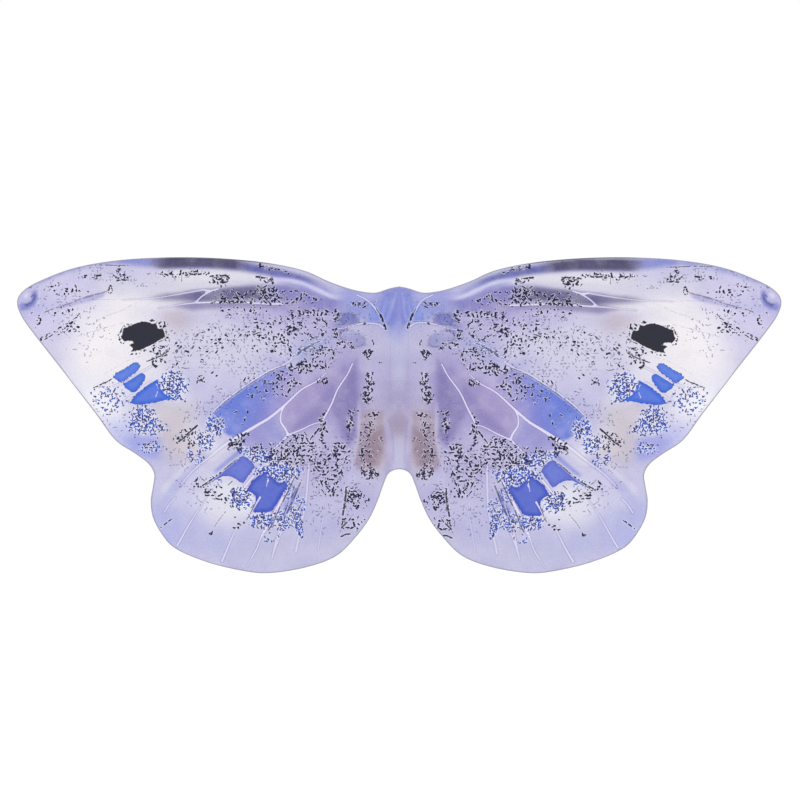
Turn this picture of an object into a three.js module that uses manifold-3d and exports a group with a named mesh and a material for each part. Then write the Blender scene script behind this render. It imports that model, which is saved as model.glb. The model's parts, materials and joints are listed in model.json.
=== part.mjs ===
// Fairy wings: printed cloth butterfly wings, worn on the back by two elastic arm loops,
// with an elastic finger loop behind each wing tip.
// Millimetres, +Z up. The printed face looks along -Y and the wearer stands on the +Y side.
// The origin is the centre of the back tape's outer face, which rests between the shoulder blades.

import * as THREE from 'three';
import Module from 'manifold-3d';
import { mergeVertices } from 'three/addons/utils/BufferGeometryUtils.js';

const wasm = await Module();
wasm.setup();

// ---- driving dimensions ----

const gap = 0.3; // kept between pieces that touch

// cloth and its rolled hem
const clothThickness = 0.9;
const hemRadius = 1.2;
const hemSides = 8;
const hemStep = 9; // length of one straight stretch of the outline

// the body strip and the two folds beside it
const foldX = 17.5; // half the width of the body strip
const foldRelief = 0.7; // cloth stops this far short of the fold's axis
const hemRelief = 1.4; // the thicker hem stops further away
const neckZ = 120;
const tailZ = -160.7;
const neckSideZ = 116.2; // height of the neckline where the fold meets it
const tailSideZ = -168.4; // height of the fold's lower end

// back tape, with the strap ends sewn in under its top and bottom
const tapeWidth = 32;
const tapeLength = 140;
const tapeThickness = 2.2;
const pocketDepth = 1.6;
const pocketLength = 20;

// shoulder straps
const strapWidth = 14;
const strapThickness = 1.1;
const strapX = 8.5; // the straps lie side by side under the tape
const swingY = 5; // the strap swings about a vertical line this far in front of the tape
const strapSplay = 20; // degrees outward at rest
const tailEndZ = 88; // where a sewn-in tail ends and the free loop begins

// finger loops and the patches that hold them
const patchX = 563.5;
const patchZ = 105.3;
const patchRadius = 12;
const patchThickness = 3.2;
const loopWidth = 6;
const loopThickness = 0.9;
const tailThickness = 2 * loopThickness + gap; // both ends of the loop, one on the other
const tailOut = 3; // how far the ends show below the patch
const hingeRelief = 0.4;

// ---- where the pieces lie, front to back ----

const clothBackY = -tapeThickness - gap;
const clothFrontY = clothBackY - clothThickness;
const clothMidY = (clothBackY + clothFrontY) / 2;
const strapTailY = -tapeThickness + gap / 3 + strapThickness / 2;
const patchBackY = clothBackY + gap;
const loopHingeY = patchBackY + gap + tailThickness;
const loopHingeZ = patchZ - patchRadius - tailOut;

// Right wing's edge, [x, z], from the neck end of the fold, over the top edge, round the tip,
// in to the notch, round the lower lobe and back up to the tail end of the fold.
const wingEdge = [
  [foldX, neckSideZ],
  [36, 110.5],
  [60, 112.5],
  [85, 119],
  [112, 129],
  [143, 143],
  [189, 154],
  [255, 162],
  [350, 165],
  [437, 160],
  [499, 149.3],
  [545, 133],
  [576, 117],
  [588, 104],
  [589.7, 93],
  [583, 75],
  [561, 44],
  [514, -16],
  [468, -76],
  [437, -117],
  [406, -138],
  [386, -154],
  [378, -169],
  [380, -190],
  [383, -210],
  [380, -235],
  [366, -262],
  [349, -281],
  [298, -304],
  [236, -319],
  [205, -321.6],
  [143, -312.3],
  [97, -294.5],
  [66, -264],
  [47, -238],
  [35, -212.6],
  [25.5, -186.3],
  [foldX, tailSideZ],
];

// Free loop of a shoulder strap, [forward from the swing line, z], from its top end to its bottom end.
const strapRoute = [
  [0, tailEndZ + gap + 0.2],
  [0.6, 94],
  [5, 101.5],
  [16, 106],
  [35, 100],
  [56, 79],
  [70, 42],
  [77, -4],
  [79, -45],
  [72, -80],
  [53, -102],
  [28, -108],
  [9, -103],
  [1.5, -95],
  [0, -tailEndZ - gap - 0.2],
];

// Sewn-in tail of a strap, [y, z], from inside the tape's top pocket to where the free loop begins.
const tailRoute = [
  [strapTailY, 52],
  [strapTailY, 62],
  [strapTailY, 71.5],
  [0.6, 78],
  [4, 83],
  [swingY, tailEndZ - 2],
  [swingY, tailEndZ],
];

// Finger loop, [out from the hinge line, z below it]: down the front run and up the back run.
const loopRoute = [
  [-0.45, -hingeRelief],
  [-0.4, -5],
  [2.5, -12],
  [8, -19],
  [11, -27],
  [8, -34],
  [3, -35.5],
  [-1, -31],
  [-1.65, -24],
  [-1.65, -12],
  [-1.65, -hingeRelief],
];

// ---- materials ----

function finish(color, roughness) {
  return new THREE.MeshStandardMaterial({ color, roughness, metalness: 0 });
}

const printedCloth = finish(0xc3c1e6, 0.85);
const hemThread = finish(0x6f6f96, 0.8);
const tapeCloth = finish(0xd9d8ee, 0.9);
const strapElastic = finish(0xf2f1ee, 0.8);
const loopElastic = finish(0xf4f3f0, 0.75);

// ---- helpers ----

const wings = new THREE.Group();

function addPiece(parent, name, geometry, material) {
  const mesh = new THREE.Mesh(geometry, material);
  mesh.name = name;
  parent.add(mesh);
  return mesh;
}

function plane2(points) {
  return points.map(([a, b]) => new THREE.Vector2(a, b));
}

// A smooth line through the points, in steps of about the given length.
function smoothLine(points, step) {
  const curve = new THREE.CatmullRomCurve3(points.map(([a, b]) => new THREE.Vector3(a, b, 0)), false, 'centripetal');
  curve.arcLengthDivisions = 1200;
  const steps = Math.max(4, Math.round(curve.getLength() / step));
  return curve.getSpacedPoints(steps).map((p) => new THREE.Vector2(p.x, p.y));
}

// The line moved sideways, to its left as it runs.
function offsetLine(line, distance) {
  return line.map((point, i) => {
    const before = line[Math.max(i - 1, 0)];
    const after = line[Math.min(i + 1, line.length - 1)];
    const along = after.clone().sub(before).normalize();
    return new THREE.Vector2(point.x - along.y * distance, point.y + along.x * distance);
  });
}

// An outline in the XZ plane, given the thickness of cloth, with its back at backY.
function clothSlab(outline, thickness, backY) {
  const geometry = new THREE.ExtrudeGeometry(new THREE.Shape(outline), { depth: thickness, bevelEnabled: false });
  geometry.rotateX(Math.PI / 2);
  geometry.translate(0, backY, 0);
  return geometry;
}

// A flat band that follows a line in the YZ plane, its width along X and centred on it.
function flatBand(line, thickness, width) {
  const outline = [...offsetLine(line, thickness / 2), ...offsetLine(line, -thickness / 2).reverse()];
  const geometry = new THREE.ExtrudeGeometry(new THREE.Shape(outline), { depth: width, bevelEnabled: false });
  geometry.translate(0, 0, -width / 2);
  const turn = new THREE.Matrix4().makeBasis(
    new THREE.Vector3(0, 1, 0),
    new THREE.Vector3(0, 0, 1),
    new THREE.Vector3(1, 0, 0),
  );
  return geometry.applyMatrix4(turn);
}

// A round roll of cloth that follows a line in the XZ plane.
function hemRoll(line) {
  const path = new THREE.CatmullRomCurve3(line.map((p) => new THREE.Vector3(p.x, clothMidY, p.y)));
  const section = [];
  for (let i = 0; i < hemSides; i++) {
    const angle = (2 * Math.PI * i) / hemSides;
    section.push(new THREE.Vector2(hemRadius * Math.cos(angle), hemRadius * Math.sin(angle)));
  }
  return new THREE.ExtrudeGeometry(new THREE.Shape(section), {
    steps: line.length - 1,
    bevelEnabled: false,
    extrudePath: path,
  });
}

function toSolid(geometry) {
  geometry.deleteAttribute('normal');
  geometry.deleteAttribute('uv');
  const merged = mergeVertices(geometry, 1e-4);
  return new wasm.Manifold(
    new wasm.Mesh({
      numProp: 3,
      vertProperties: new Float32Array(merged.attributes.position.array),
      triVerts: new Uint32Array(merged.index.array),
    }),
  );
}

function fromSolid(solid) {
  const { vertProperties, triVerts } = solid.getMesh();
  const geometry = new THREE.BufferGeometry();
  geometry.setAttribute('position', new THREE.BufferAttribute(vertProperties, 3));
  geometry.setIndex(new THREE.BufferAttribute(triVerts, 1));
  geometry.computeVertexNormals();
  return geometry;
}

function box(sizeX, sizeY, sizeZ, x, y, z) {
  return new THREE.BoxGeometry(sizeX, sizeY, sizeZ).translate(x, y, z);
}

// ---- cloth ----

function wingLine(side) {
  return smoothLine(wingEdge, hemStep).map((p) => new THREE.Vector2(side * p.x, p.y));
}

// The line with both ends slid along themselves to the given x.
function endAt(line, x) {
  const last = line.length - 1;
  for (const [end, next] of [[0, 1], [last, last - 1]]) {
    line[end].lerp(line[next], (x - line[end].x) / (line[next].x - line[end].x));
  }
  return line;
}

function wingPanel(side) {
  const edge = offsetLine(wingLine(side), -side * (hemRadius + gap));
  return clothSlab(endAt(edge, side * (foldX + foldRelief)), clothThickness, clothBackY);
}

function wingHem(side) {
  return hemRoll(endAt(wingLine(side), side * (foldX + hemRelief)));
}

// Neckline and tail of the body strip, from the left fold to the right one.
function neckLine(halfWidth) {
  const points = [[-halfWidth, neckSideZ], [0, neckZ], [halfWidth, neckSideZ]];
  return smoothLine(points, halfWidth / 4);
}

function tailLine(halfWidth) {
  const points = [[-halfWidth, tailSideZ], [0, tailZ], [halfWidth, tailSideZ]];
  return smoothLine(points, halfWidth / 4);
}

function bodyPanel() {
  const halfWidth = foldX - foldRelief;
  const inset = hemRadius + gap;
  const top = neckLine(halfWidth).map((p) => new THREE.Vector2(p.x, p.y - inset));
  const bottom = tailLine(halfWidth).map((p) => new THREE.Vector2(p.x, p.y + inset));
  return clothSlab([...top, ...bottom.reverse()], clothThickness, clothBackY);
}

// ---- straps ----

// The tape that backs the body strip, with a pocket for each of the four strap ends.
function backTape() {
  let tape = toSolid(box(tapeWidth, tapeThickness, tapeLength, 0, -tapeThickness / 2, 0));
  for (const side of [-1, 1]) {
    for (const end of [-1, 1]) {
      const pocket = box(
        strapWidth + 2 * gap,
        2 * pocketDepth,
        2 * pocketLength,
        side * strapX,
        -tapeThickness,
        (end * tapeLength) / 2,
      );
      tape = tape.subtract(toSolid(pocket));
    }
  }
  return fromSolid(tape);
}

function strapTail(end) {
  const route = tailRoute.map(([y, z]) => [y, end * z]);
  return flatBand(smoothLine(route, 3), strapThickness, strapWidth);
}

function strapLoop() {
  return flatBand(smoothLine(strapRoute, 5), strapThickness, strapWidth);
}

// ---- finger loops ----

// A round patch with a pocket that opens at its lower edge, for the two ends of the loop.
function tipPatch(side) {
  const disc = new THREE.CylinderGeometry(patchRadius, patchRadius, patchThickness, 48);
  disc.translate(side * patchX, patchBackY + patchThickness / 2, patchZ);
  const pocketSize = tailThickness + 2 * gap;
  const pocket = box(
    loopWidth + 2 * gap,
    2 * pocketSize,
    2 * (patchRadius - gap),
    side * patchX,
    patchBackY,
    patchZ - patchRadius,
  );
  return fromSolid(toSolid(disc).subtract(toSolid(pocket)));
}

function loopTail(side) {
  const length = patchRadius - 3 * gap + tailOut;
  const y = loopHingeY - tailThickness / 2;
  const z = loopHingeZ + hingeRelief + length / 2;
  return box(loopWidth, tailThickness, length, side * patchX, y, z);
}

function fingerLoop() {
  return flatBand(smoothLine(loopRoute, 1.6), loopThickness, loopWidth);
}

// ---- assembly ----

addPiece(wings, 'body_panel', bodyPanel(), printedCloth);
addPiece(wings, 'neck_hem', hemRoll(neckLine(foldX - hemRelief)), hemThread);
addPiece(wings, 'tail_hem', hemRoll(tailLine(foldX - hemRelief)), hemThread);
addPiece(wings, 'back_tape', backTape(), tapeCloth);

for (const [word, side] of [['left', -1], ['right', 1]]) {
  addPiece(wings, `${word}_wing_panel`, wingPanel(side), printedCloth);
  addPiece(wings, `${word}_wing_hem`, wingHem(side), hemThread);
  addPiece(wings, `${word}_tip_patch`, tipPatch(side), tapeCloth);
  addPiece(wings, `${word}_loop_tail`, loopTail(side), loopElastic);
  const loop = addPiece(wings, `${word}_finger_loop`, fingerLoop(), loopElastic);
  loop.position.set(side * patchX, loopHingeY, loopHingeZ);

  addPiece(wings, `${word}_strap_top_tail`, strapTail(1), strapElastic).position.x = side * strapX;
  addPiece(wings, `${word}_strap_bottom_tail`, strapTail(-1), strapElastic).position.x = side * strapX;
  const swing = new THREE.Group();
  swing.position.set(side * strapX, swingY, 0);
  swing.rotation.z = -side * THREE.MathUtils.degToRad(strapSplay);
  addPiece(swing, `${word}_strap`, strapLoop(), strapElastic);
  wings.add(swing);
}

export default wings;
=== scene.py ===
# Fairy wings: printed cloth butterfly wings with a rolled hem, a back tape, two elastic
# arm loops and two finger loops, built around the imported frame.
import json
import math

import bpy
import numpy as np
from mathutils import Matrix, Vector, geometry


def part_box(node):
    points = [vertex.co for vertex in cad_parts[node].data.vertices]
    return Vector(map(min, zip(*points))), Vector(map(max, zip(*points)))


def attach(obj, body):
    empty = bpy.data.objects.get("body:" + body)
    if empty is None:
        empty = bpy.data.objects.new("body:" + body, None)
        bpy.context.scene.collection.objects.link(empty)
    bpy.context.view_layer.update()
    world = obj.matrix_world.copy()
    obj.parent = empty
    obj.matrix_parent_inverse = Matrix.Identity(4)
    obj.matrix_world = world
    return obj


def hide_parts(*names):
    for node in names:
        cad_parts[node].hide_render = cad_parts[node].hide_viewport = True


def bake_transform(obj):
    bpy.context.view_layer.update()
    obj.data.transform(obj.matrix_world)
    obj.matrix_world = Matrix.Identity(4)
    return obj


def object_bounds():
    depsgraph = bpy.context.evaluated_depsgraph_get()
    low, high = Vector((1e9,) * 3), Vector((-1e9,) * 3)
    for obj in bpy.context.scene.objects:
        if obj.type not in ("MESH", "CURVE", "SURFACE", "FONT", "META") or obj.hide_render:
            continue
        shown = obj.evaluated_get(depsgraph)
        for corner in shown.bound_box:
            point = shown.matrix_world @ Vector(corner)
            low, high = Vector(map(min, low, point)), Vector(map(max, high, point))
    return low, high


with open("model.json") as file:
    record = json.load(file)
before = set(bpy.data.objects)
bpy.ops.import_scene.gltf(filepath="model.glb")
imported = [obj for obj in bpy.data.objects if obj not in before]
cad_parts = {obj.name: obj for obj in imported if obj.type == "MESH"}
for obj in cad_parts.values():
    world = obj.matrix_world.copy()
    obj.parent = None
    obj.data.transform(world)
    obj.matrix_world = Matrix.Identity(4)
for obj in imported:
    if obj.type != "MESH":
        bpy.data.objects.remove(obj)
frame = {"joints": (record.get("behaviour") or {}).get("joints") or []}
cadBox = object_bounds()
mm = 0.001


def boxOf(node):
    # a CAD node's lowest and highest corners, in mm
    return [[round(v / mm, 3) for v in corner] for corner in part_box(node)]


def jointPlace(name):
    # a place that a joint's axis goes through, in mm
    joint = next(j for j in frame["joints"] if j["name"] == name)
    return [round(v / mm, 3) for v in joint["pos_m"]]


foldX, foldY, _ = jointPlace("right_wing_fold")
strapX, strapY, _ = jointPlace("right_strap_swing")
loopX, loopY, loopZ = jointPlace("right_loop_lift")
tapeLow, tapeHigh = boxOf("back_tape")
patchLow, patchHigh = boxOf("right_tip_patch")
patchX, _, patchZ = [(a + b) / 2 for a, b in zip(patchLow, patchHigh)]

# camera and light
studio = dict(
    lens=116.4,
    sensor=36.0,
    distance=4.0,
    lookX=1.2,        # mm beside the wings' middle
    lookZ=-54.7,
    floorDrop=0.35,   # floor this far below the lobes
    floorReach=12.0,  # m
    floorSides=48,
    sky=1.0,
)

camera = bpy.data.objects.new("camera", bpy.data.cameras.new("camera"))
camera.data.lens = studio["lens"]
camera.data.sensor_width = studio["sensor"]
camera.data.clip_end = 50
camera.location = (studio["lookX"] * mm, -studio["distance"], studio["lookZ"] * mm)
camera.rotation_euler = (math.pi / 2, 0, 0)
bpy.context.scene.collection.objects.link(camera)
bpy.context.scene.camera = camera
bpy.context.scene.view_settings.view_transform = "Standard"
print("camera set")


# small maths helpers
def smooth(a, b, t):
    k = np.clip((t - a) / (b - a), 0, 1)
    return k * k * (3 - 2 * k)


def tint(code):
    # "#rrggbb" to a linear colour
    parts = [int(code[i:i + 2], 16) / 255 for i in (1, 3, 5)]
    return [c / 12.92 if c <= 0.04045 else ((c + 0.055) / 1.055) ** 2.4 for c in parts]


def splineThrough(points, step):
    # centripetal spline through the points, resampled to even steps
    p = np.array(points, float)
    p = np.vstack([2 * p[0] - p[1], p, 2 * p[-1] - p[-2]])
    out = []
    for i in range(1, len(p) - 2):
        a, b, c, d = p[i - 1:i + 3]
        t0 = 0.0
        t1 = t0 + np.linalg.norm(b - a) ** 0.5
        t2 = t1 + np.linalg.norm(c - b) ** 0.5
        t3 = t2 + np.linalg.norm(d - c) ** 0.5
        t = np.linspace(t1, t2, 24, endpoint=False)[:, None]
        ab = (t1 - t) / (t1 - t0) * a + (t - t0) / (t1 - t0) * b
        bc = (t2 - t) / (t2 - t1) * b + (t - t1) / (t2 - t1) * c
        cd = (t3 - t) / (t3 - t2) * c + (t - t2) / (t3 - t2) * d
        abc = (t2 - t) / (t2 - t0) * ab + (t - t0) / (t2 - t0) * bc
        bcd = (t3 - t) / (t3 - t1) * bc + (t - t1) / (t3 - t1) * cd
        out.append((t2 - t) / (t2 - t1) * abc + (t - t1) / (t2 - t1) * bcd)
    out.append(p[-2][None])
    return resample(np.vstack(out), step)


def lengthAlong(line):
    # how far along a line each of its points lies
    return np.r_[0, np.cumsum(np.linalg.norm(np.diff(line, axis=0), axis=1))]


def resample(line, step):
    line = np.asarray(line, float)
    along = lengthAlong(line)
    count = max(2, int(round(along[-1] / step)) + 1)
    s = np.linspace(0, along[-1], count)
    return np.stack([np.interp(s, along, line[:, k]) for k in range(line.shape[1])], 1)


def lineDistance(points, line):
    # distance of each point from a polyline, and how far along it the nearest place is (0 to 1)
    line = np.asarray(line, float)
    best = np.full(len(points), 1e9)
    where = np.zeros(len(points))
    lengths = np.linalg.norm(np.diff(line, axis=0), axis=1)
    total = max(lengths.sum(), 1e-9)
    walked = 0.0
    for a, b, length in zip(line[:-1], line[1:], lengths):
        d = b - a
        t = np.clip(((points - a) @ d) / max(d @ d, 1e-12), 0, 1)
        dist = np.linalg.norm(points - (a + t[:, None] * d), axis=1)
        near = dist < best
        best[near] = dist[near]
        where[near] = (walked + t[near] * length) / total
        walked += length
    return best, where


def insideOutline(points, outline):
    x, z = points[:, 0], points[:, 1]
    inside = np.zeros(len(points), bool)
    for (ax, az), (bx, bz) in zip(outline, np.roll(outline, -1, axis=0)):
        crosses = (az > z) != (bz > z)
        with np.errstate(divide="ignore", invalid="ignore"):
            inside ^= crosses & (x < (bx - ax) * (z - az) / (bz - az) + ax)
    return inside


def depthInside(points, outline):
    # signed distance to a closed outline, positive inside
    outline = np.asarray(outline, float)
    distance, _ = lineDistance(points, np.vstack([outline, outline[:1]]))
    return np.where(insideOutline(points, outline), distance, -distance)


# the cut of the cloth
cut = dict(
    clothY=foldY,        # middle of the cloth's thickness
    thickness=0.5,
    spacing=2.6,         # of the mesh, whose rows fill the next box
    wide=592, low=-323, high=166,
    middlePoints=72,     # down the body strip's middle
    edgeStep=2.0,
    lineStep=2.6,        # between the mesh's points along a vein or a pen line
    hemInset=0.4,        # cloth stops this far inside the hem's middle
)

# one wing's edge, x and z in mm, from the neck to the tail, as the panel is cut
neckLine = [(0, 120), (8, 118.6), (17.5, 116.2)]
wingEdge = [
    (17.5, 116.2), (36, 110.5), (60, 112.5), (85, 119), (112, 129), (143, 143), (189, 154), (255, 162),
    (350, 165), (437, 160), (499, 149.3), (545, 133), (576, 117), (588, 104), (589.7, 93), (583, 75),
    (561, 44), (514, -16), (468, -76), (437, -117), (406, -138), (386, -154), (378, -169), (380, -190),
    (383, -210), (380, -235), (366, -262), (349, -281), (298, -304), (236, -319), (205, -321.6),
    (143, -312.3), (97, -294.5), (66, -264), (47, -238), (35, -212.6), (25.5, -186.3), (17.5, -168.4),
]
tailLine = [(17.5, -168.4), (9, -162.6), (0, -160.7)]

halfEdge = splineThrough(neckLine + wingEdge[1:-1] + tailLine, cut["edgeStep"])
halfEdge[0, 0] = halfEdge[-1, 0] = 0

# where the cloth isn't flat
drape = dict(
    swell=5.0, swellFrom=40.0, swellTo=190.0,
    folds=((0.55, 47, 95, 0.6), (0.45, 83, -61, 2.1)),   # share, length in x and in z, phase
    flutter=3.2, flutterReach=75.0, flutterWaves=13,
    crease=1.5,
    creases=((-0.1, 0.7, 42), (0.26, 1.0, 48), (0.62, -0.8, 46), (1.02, 0.7, 50)),   # angle, depth, reach
    creaseFrom=(2.0, 122.0),
    tip=(577.0, 103.0), tipDip=3.2, tipRing=13.5, tipRingWidth=3.6,
    patchFlat=34.0,
)


def clothLift(x, z):
    # mm that the cloth stands off its flat place; positive is towards the wearer
    x = np.abs(x)
    out = smooth(drape["swellFrom"], drape["swellTo"], x)
    folds = sum(share * np.sin(x / inX + z / inZ + phase) for share, inX, inZ, phase in drape["folds"])
    lift = drape["swell"] * out * folds
    edge, along = lineDistance(np.stack([x, z], 1), halfEdge[::8])
    near = np.clip(1 - edge / drape["flutterReach"], 0, 1) ** 1.6
    lift += drape["flutter"] * near * out * np.sin(along * 2 * math.pi * drape["flutterWaves"] + 0.7)
    # soft creases that fan down from the neckline
    dx, dz = x - drape["creaseFrom"][0], drape["creaseFrom"][1] - z
    for angle, depth, reach in drape["creases"]:
        across = dx * math.cos(angle) - dz * math.sin(angle)
        down = dx * math.sin(angle) + dz * math.cos(angle)
        body = np.exp(-(across / (2.2 + 0.10 * np.abs(down))) ** 2) * smooth(-4, 10, down)
        lift += drape["crease"] * depth * body * (1 - smooth(0.3 * reach, reach, down)) * smooth(0, 6, x)
    # flat under the patch, dimpled where its stitches draw the tip in
    away = np.hypot(x - patchX, z - patchZ)
    lift *= smooth(0.5, 1.6, away / drape["patchFlat"])
    tx, tz = drape["tip"]
    ring = (np.hypot(x - tx, z - tz) - drape["tipRing"]) / drape["tipRingWidth"]
    lift -= drape["tipDip"] * np.exp(-ring ** 2) * smooth(-6, 8, tx - x + (tz - z) * 0.6)
    return lift * smooth(0, 9, edge + 3)


def clothPlace(x, z, side):
    # metres in the frame for a place on the flat cloth
    y = cut["clothY"] + clothLift(x, z)
    return np.stack([side * x, y, z], 1) * mm


# the print, drawn in mm on one wing, with painted shade and painted highlights of the neck creases and the
# tip's dimple among its panes and bands
# soft washes of the ground: x, z, reach in x, reach in z, turn in degrees, colour, strength
groundColour = "#cbc8e6"
washes = [
    (0, 95, 70, 38, 0, "#9296d6", 1.0),
    (12, 88, 9, 40, 14, "#7f84cf", 0.55),
    (70, 92, 45, 22, 0, "#8f99db", 0.8),
    (38, 75, 16, 14, 0, "#6f86d6", 0.75),
    (0, 8, 30, 44, 0, "#b9b7d8", 0.9),
    (0, -44, 26, 48, 0, "#a298c1", 0.97),
    (0, -98, 22, 27, 0, "#a193ab", 0.92),
    (0, -142, 17, 26, 0, "#c1bede", 0.9),
    (18, -142, 7, 30, 0, "#a9a3c9", 0.85),
    (42, 38, 30, 32, 0, "#c5c3de", 0.9),
    (100, -40, 55, 75, -30, "#9d93c8", 0.95),
    (75, -75, 24, 60, 0, "#9488bf", 0.7),
    (140, -65, 38, 40, -30, "#aca2d2", 0.8),
    (120, 60, 46, 34, 0, "#b3abd6", 0.75),
    (205, 78, 80, 24, -4, "#b3abda", 0.9),
    (330, 100, 60, 20, 0, "#dcd8e4", 0.9),
    (260, 30, 70, 34, 0, "#d2cfe4", 0.8),
    (345, 66, 26, 17, 0, "#b6a7b6", 0.85),
    (438, 62, 66, 42, -12, "#f5f1f4", 0.95),
    (466, 14, 56, 46, -30, "#fbf7f9", 0.97),
    (412, -5, 56, 30, 0, "#f2eef3", 0.8),
    (300, 132, 80, 12, 2, "#dedbe4", 0.85),
    (440, 112, 60, 14, -6, "#dcd9e6", 0.8),
    (510, 118, 50, 26, -14, "#cfcaeb", 0.8),
    (540, 62, 40, 34, -40, "#d5d0ee", 0.8),
    (570, 92, 26, 22, 0, "#b4b0e4", 0.6),
    (462, -66, 52, 26, -40, "#fafaff", 0.92),
    (420, -108, 34, 20, -30, "#bcbfee", 0.8),
    (392, -126, 26, 14, -20, "#a8aee8", 0.8),
    (300, -52, 56, 22, -35, "#bdbbe0", 0.9),
    (345, -72, 28, 22, 20, "#cdc5cf", 0.9),
    (348, -112, 26, 34, 20, "#cfc7cc", 0.95),
    (322, -130, 24, 20, 0, "#cdbfc7", 0.7),
    (205, -108, 34, 22, -30, "#9c98d2", 0.95),
    (40, -120, 17, 48, 0, "#ae9ca8", 0.95),
    (120, -160, 40, 40, 0, "#b3aad4", 0.8),
    (60, -205, 34, 34, 0, "#b6b3dc", 0.8),
    (298, -216, 46, 25, -20, "#efedf1", 1.0),
    (262, -196, 34, 18, -30, "#e9e9f3", 0.85),
    (335, -200, 40, 34, 50, "#c9c8ea", 0.7),
    (340, -250, 50, 26, 30, "#bcbde6", 0.8),
    (270, -275, 60, 24, 0, "#b7b9e3", 0.85),
    (190, -290, 70, 26, 0, "#c0c0de", 0.8),
    (110, -250, 50, 50, 0, "#b9b8de", 0.8),
    (90, -280, 40, 20, 30, "#c4c3dd", 0.6),
    (300, -120, 24, 13, -35, "#e9e8f4", 0.8),
    (386, -128, 24, 15, -20, "#959be2", 0.85),
    (362, -250, 22, 42, 20, "#a9afe6", 0.55),
    (172, -214, 20, 26, 12, "#9097da", 0.6),
    (186, -166, 34, 13, 0, "#c6c8ea", 0.6),
    (170, -62, 20, 12, -38, "#c3b2db", 0.5),
    (136, -40, 14, 9, -38, "#bfb0d6", 0.5),
    (96, -62, 8, 22, 30, "#7d73ae", 0.45),
    (110, -14, 16, 10, 30, "#b9a9d2", 0.5),
    (148, 96, 34, 8, 0, "#a791c6", 0.5),
    (0, 10, 12, 60, 0, "#c2c5e6", 0.5),
    (243, -212, 20, 16, -30, "#eff0fa", 0.7),
    (352, -36, 34, 20, -15, "#e2e3f4", 0.75),
    (415, 94, 46, 12, -6, "#f7f3f5", 0.75),
    (160, 90, 44, 11, 0, "#928ac0", 0.7),
    (92, 61, 11, 7, 0, "#7c80bd", 0.7),
    (0, 64, 20, 22, 0, "#828cd4", 0.75),
    (134, 26, 32, 13, 28, "#949fd6", 0.6),
    (186, -1, 22, 10, -30, "#9fa1d6", 0.55),
    (290, 32, 50, 40, 0, "#dbd9ea", 0.45),
]

# brushed bands: line, half width at start and end, softness, colour, strength
bands = [
    ([(430, 160), (400, 159), (370, 158), (330, 157), (290, 156.5), (250, 153), (205, 145), (165, 136),
      (120, 122),
      (95, 112)], 8.0, 6.0, 4.5, "#6063a8", 0.97),
    ([(390, 157), (366, 157), (330, 157.5), (296, 157), (262, 154.5), (226, 150)],
     9.0, 5.0, 4.5, "#504b68", 0.97),
    ([(380, 163), (330, 165), (280, 163.5), (230, 158)], 3.0, 2.0, 3.0, "#3e3a54", 0.85),
    ([(440, 160), (405, 161), (380, 158)], 5.0, 9.0, 7.0, "#7c84d2", 0.85),
    ([(200, 140), (180, 132), (158, 126), (130, 118), (100, 108)], 5.0, 6.0, 5.0, "#858bd2", 0.8),
    ([(590, 118), (545, 134), (500, 150), (440, 160), (400, 163)], 3.0, 6.0, 5.0, "#8f95d6", 0.8),
    ([(395, 102), (365, 104), (335, 105), (290, 108), (240, 111), (190, 112)],
     4.0, 13.0, 5.0, "#8580a2", 0.97),
    ([(345, 105), (312, 106), (262, 108), (225, 110), (180, 111), (140, 108)],
     8.0, 10.0, 5.5, "#625e88", 0.97),
    ([(220, 112), (180, 111), (150, 107), (122, 100), (80, 84)], 10.0, 13.0, 7.0, "#8784c4", 0.95),
    ([(228, 128), (200, 131), (170, 130), (148, 125), (125, 115), (100, 104), (78, 104)],
     3.2, 3.0, 2.6, "#d7d5f2", 0.85),
    ([(20, 112), (40, 106), (64, 106), (90, 116)], 6.0, 5.0, 4.0, "#a3a5df", 0.8),
    ([(540, 84), (505, 95), (478, 103), (450, 111)], 2.0, 4.5, 2.0, "#b3b0df", 0.9),
    ([(23, -78), (18, -100), (14, -125), (15, -158)], 3.4, 4.4, 2.4, "#b4acd0", 0.8),
    ([(18, -76), (12.5, -100), (9, -125), (9, -158)], 0.9, 0.9, 1.6, "#8f87b4", 0.5),
    ([(236, -127), (262, -147), (290, -170)], 4.0, 2.5, 2.6, "#8c95da", 0.85),
    # the dark crescents here and the band from (580, 88) lie on the ring of the tip's dimple: painted
    # shade of the pucker that the patch draws in; the pale stroke from (571, 111) inside the ring is its
    # painted highlight
    ([(560, 119), (563, 112), (562, 103), (566, 95), (574, 90), (585, 88), (592, 90)],
     3.0, 5.0, 3.4, "#7f82cc", 0.95),
    ([(563, 113), (563, 104), (567, 96.5), (575, 92), (584, 92)], 1.2, 2.6, 1.6, "#53559e", 0.95),
    ([(571, 111), (576, 106), (580, 103)], 2.5, 3.0, 3.0, "#e3e1f6", 0.8),
    ([(565, 107.5), (567, 106), (569, 104.5)], 1.4, 1.4, 1.0, "#45488c", 0.9),
    ([(556, 120), (556, 110), (557, 98), (562, 88)], 1.0, 1.2, 1.2, "#e4e2f6", 0.6),
    ([(61, -45), (62, -75), (63, -105), (67, -128), (72, -152), (78, -182)],
     2.6, 2.2, 2.6, "#c9c3de", 0.6),
    # painted shade of the tip's pucker
    ([(580, 88), (586, 96)], 4.0, 3.0, 4.0, "#8286cf", 0.8),
    ([(300, -140), (333, -163), (355, -182), (372, -204)], 3.5, 4.5, 3.0, "#d8d6ea", 0.8),
    ([(290, -128), (312, -152), (335, -178), (356, -204), (368, -226)], 6.0, 7.0, 4.0, "#b5b7e4", 0.75),
    ([(262, -122), (283, -140), (300, -152)], 5.0, 4.0, 3.0, "#dad7e6", 0.8),
]

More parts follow.
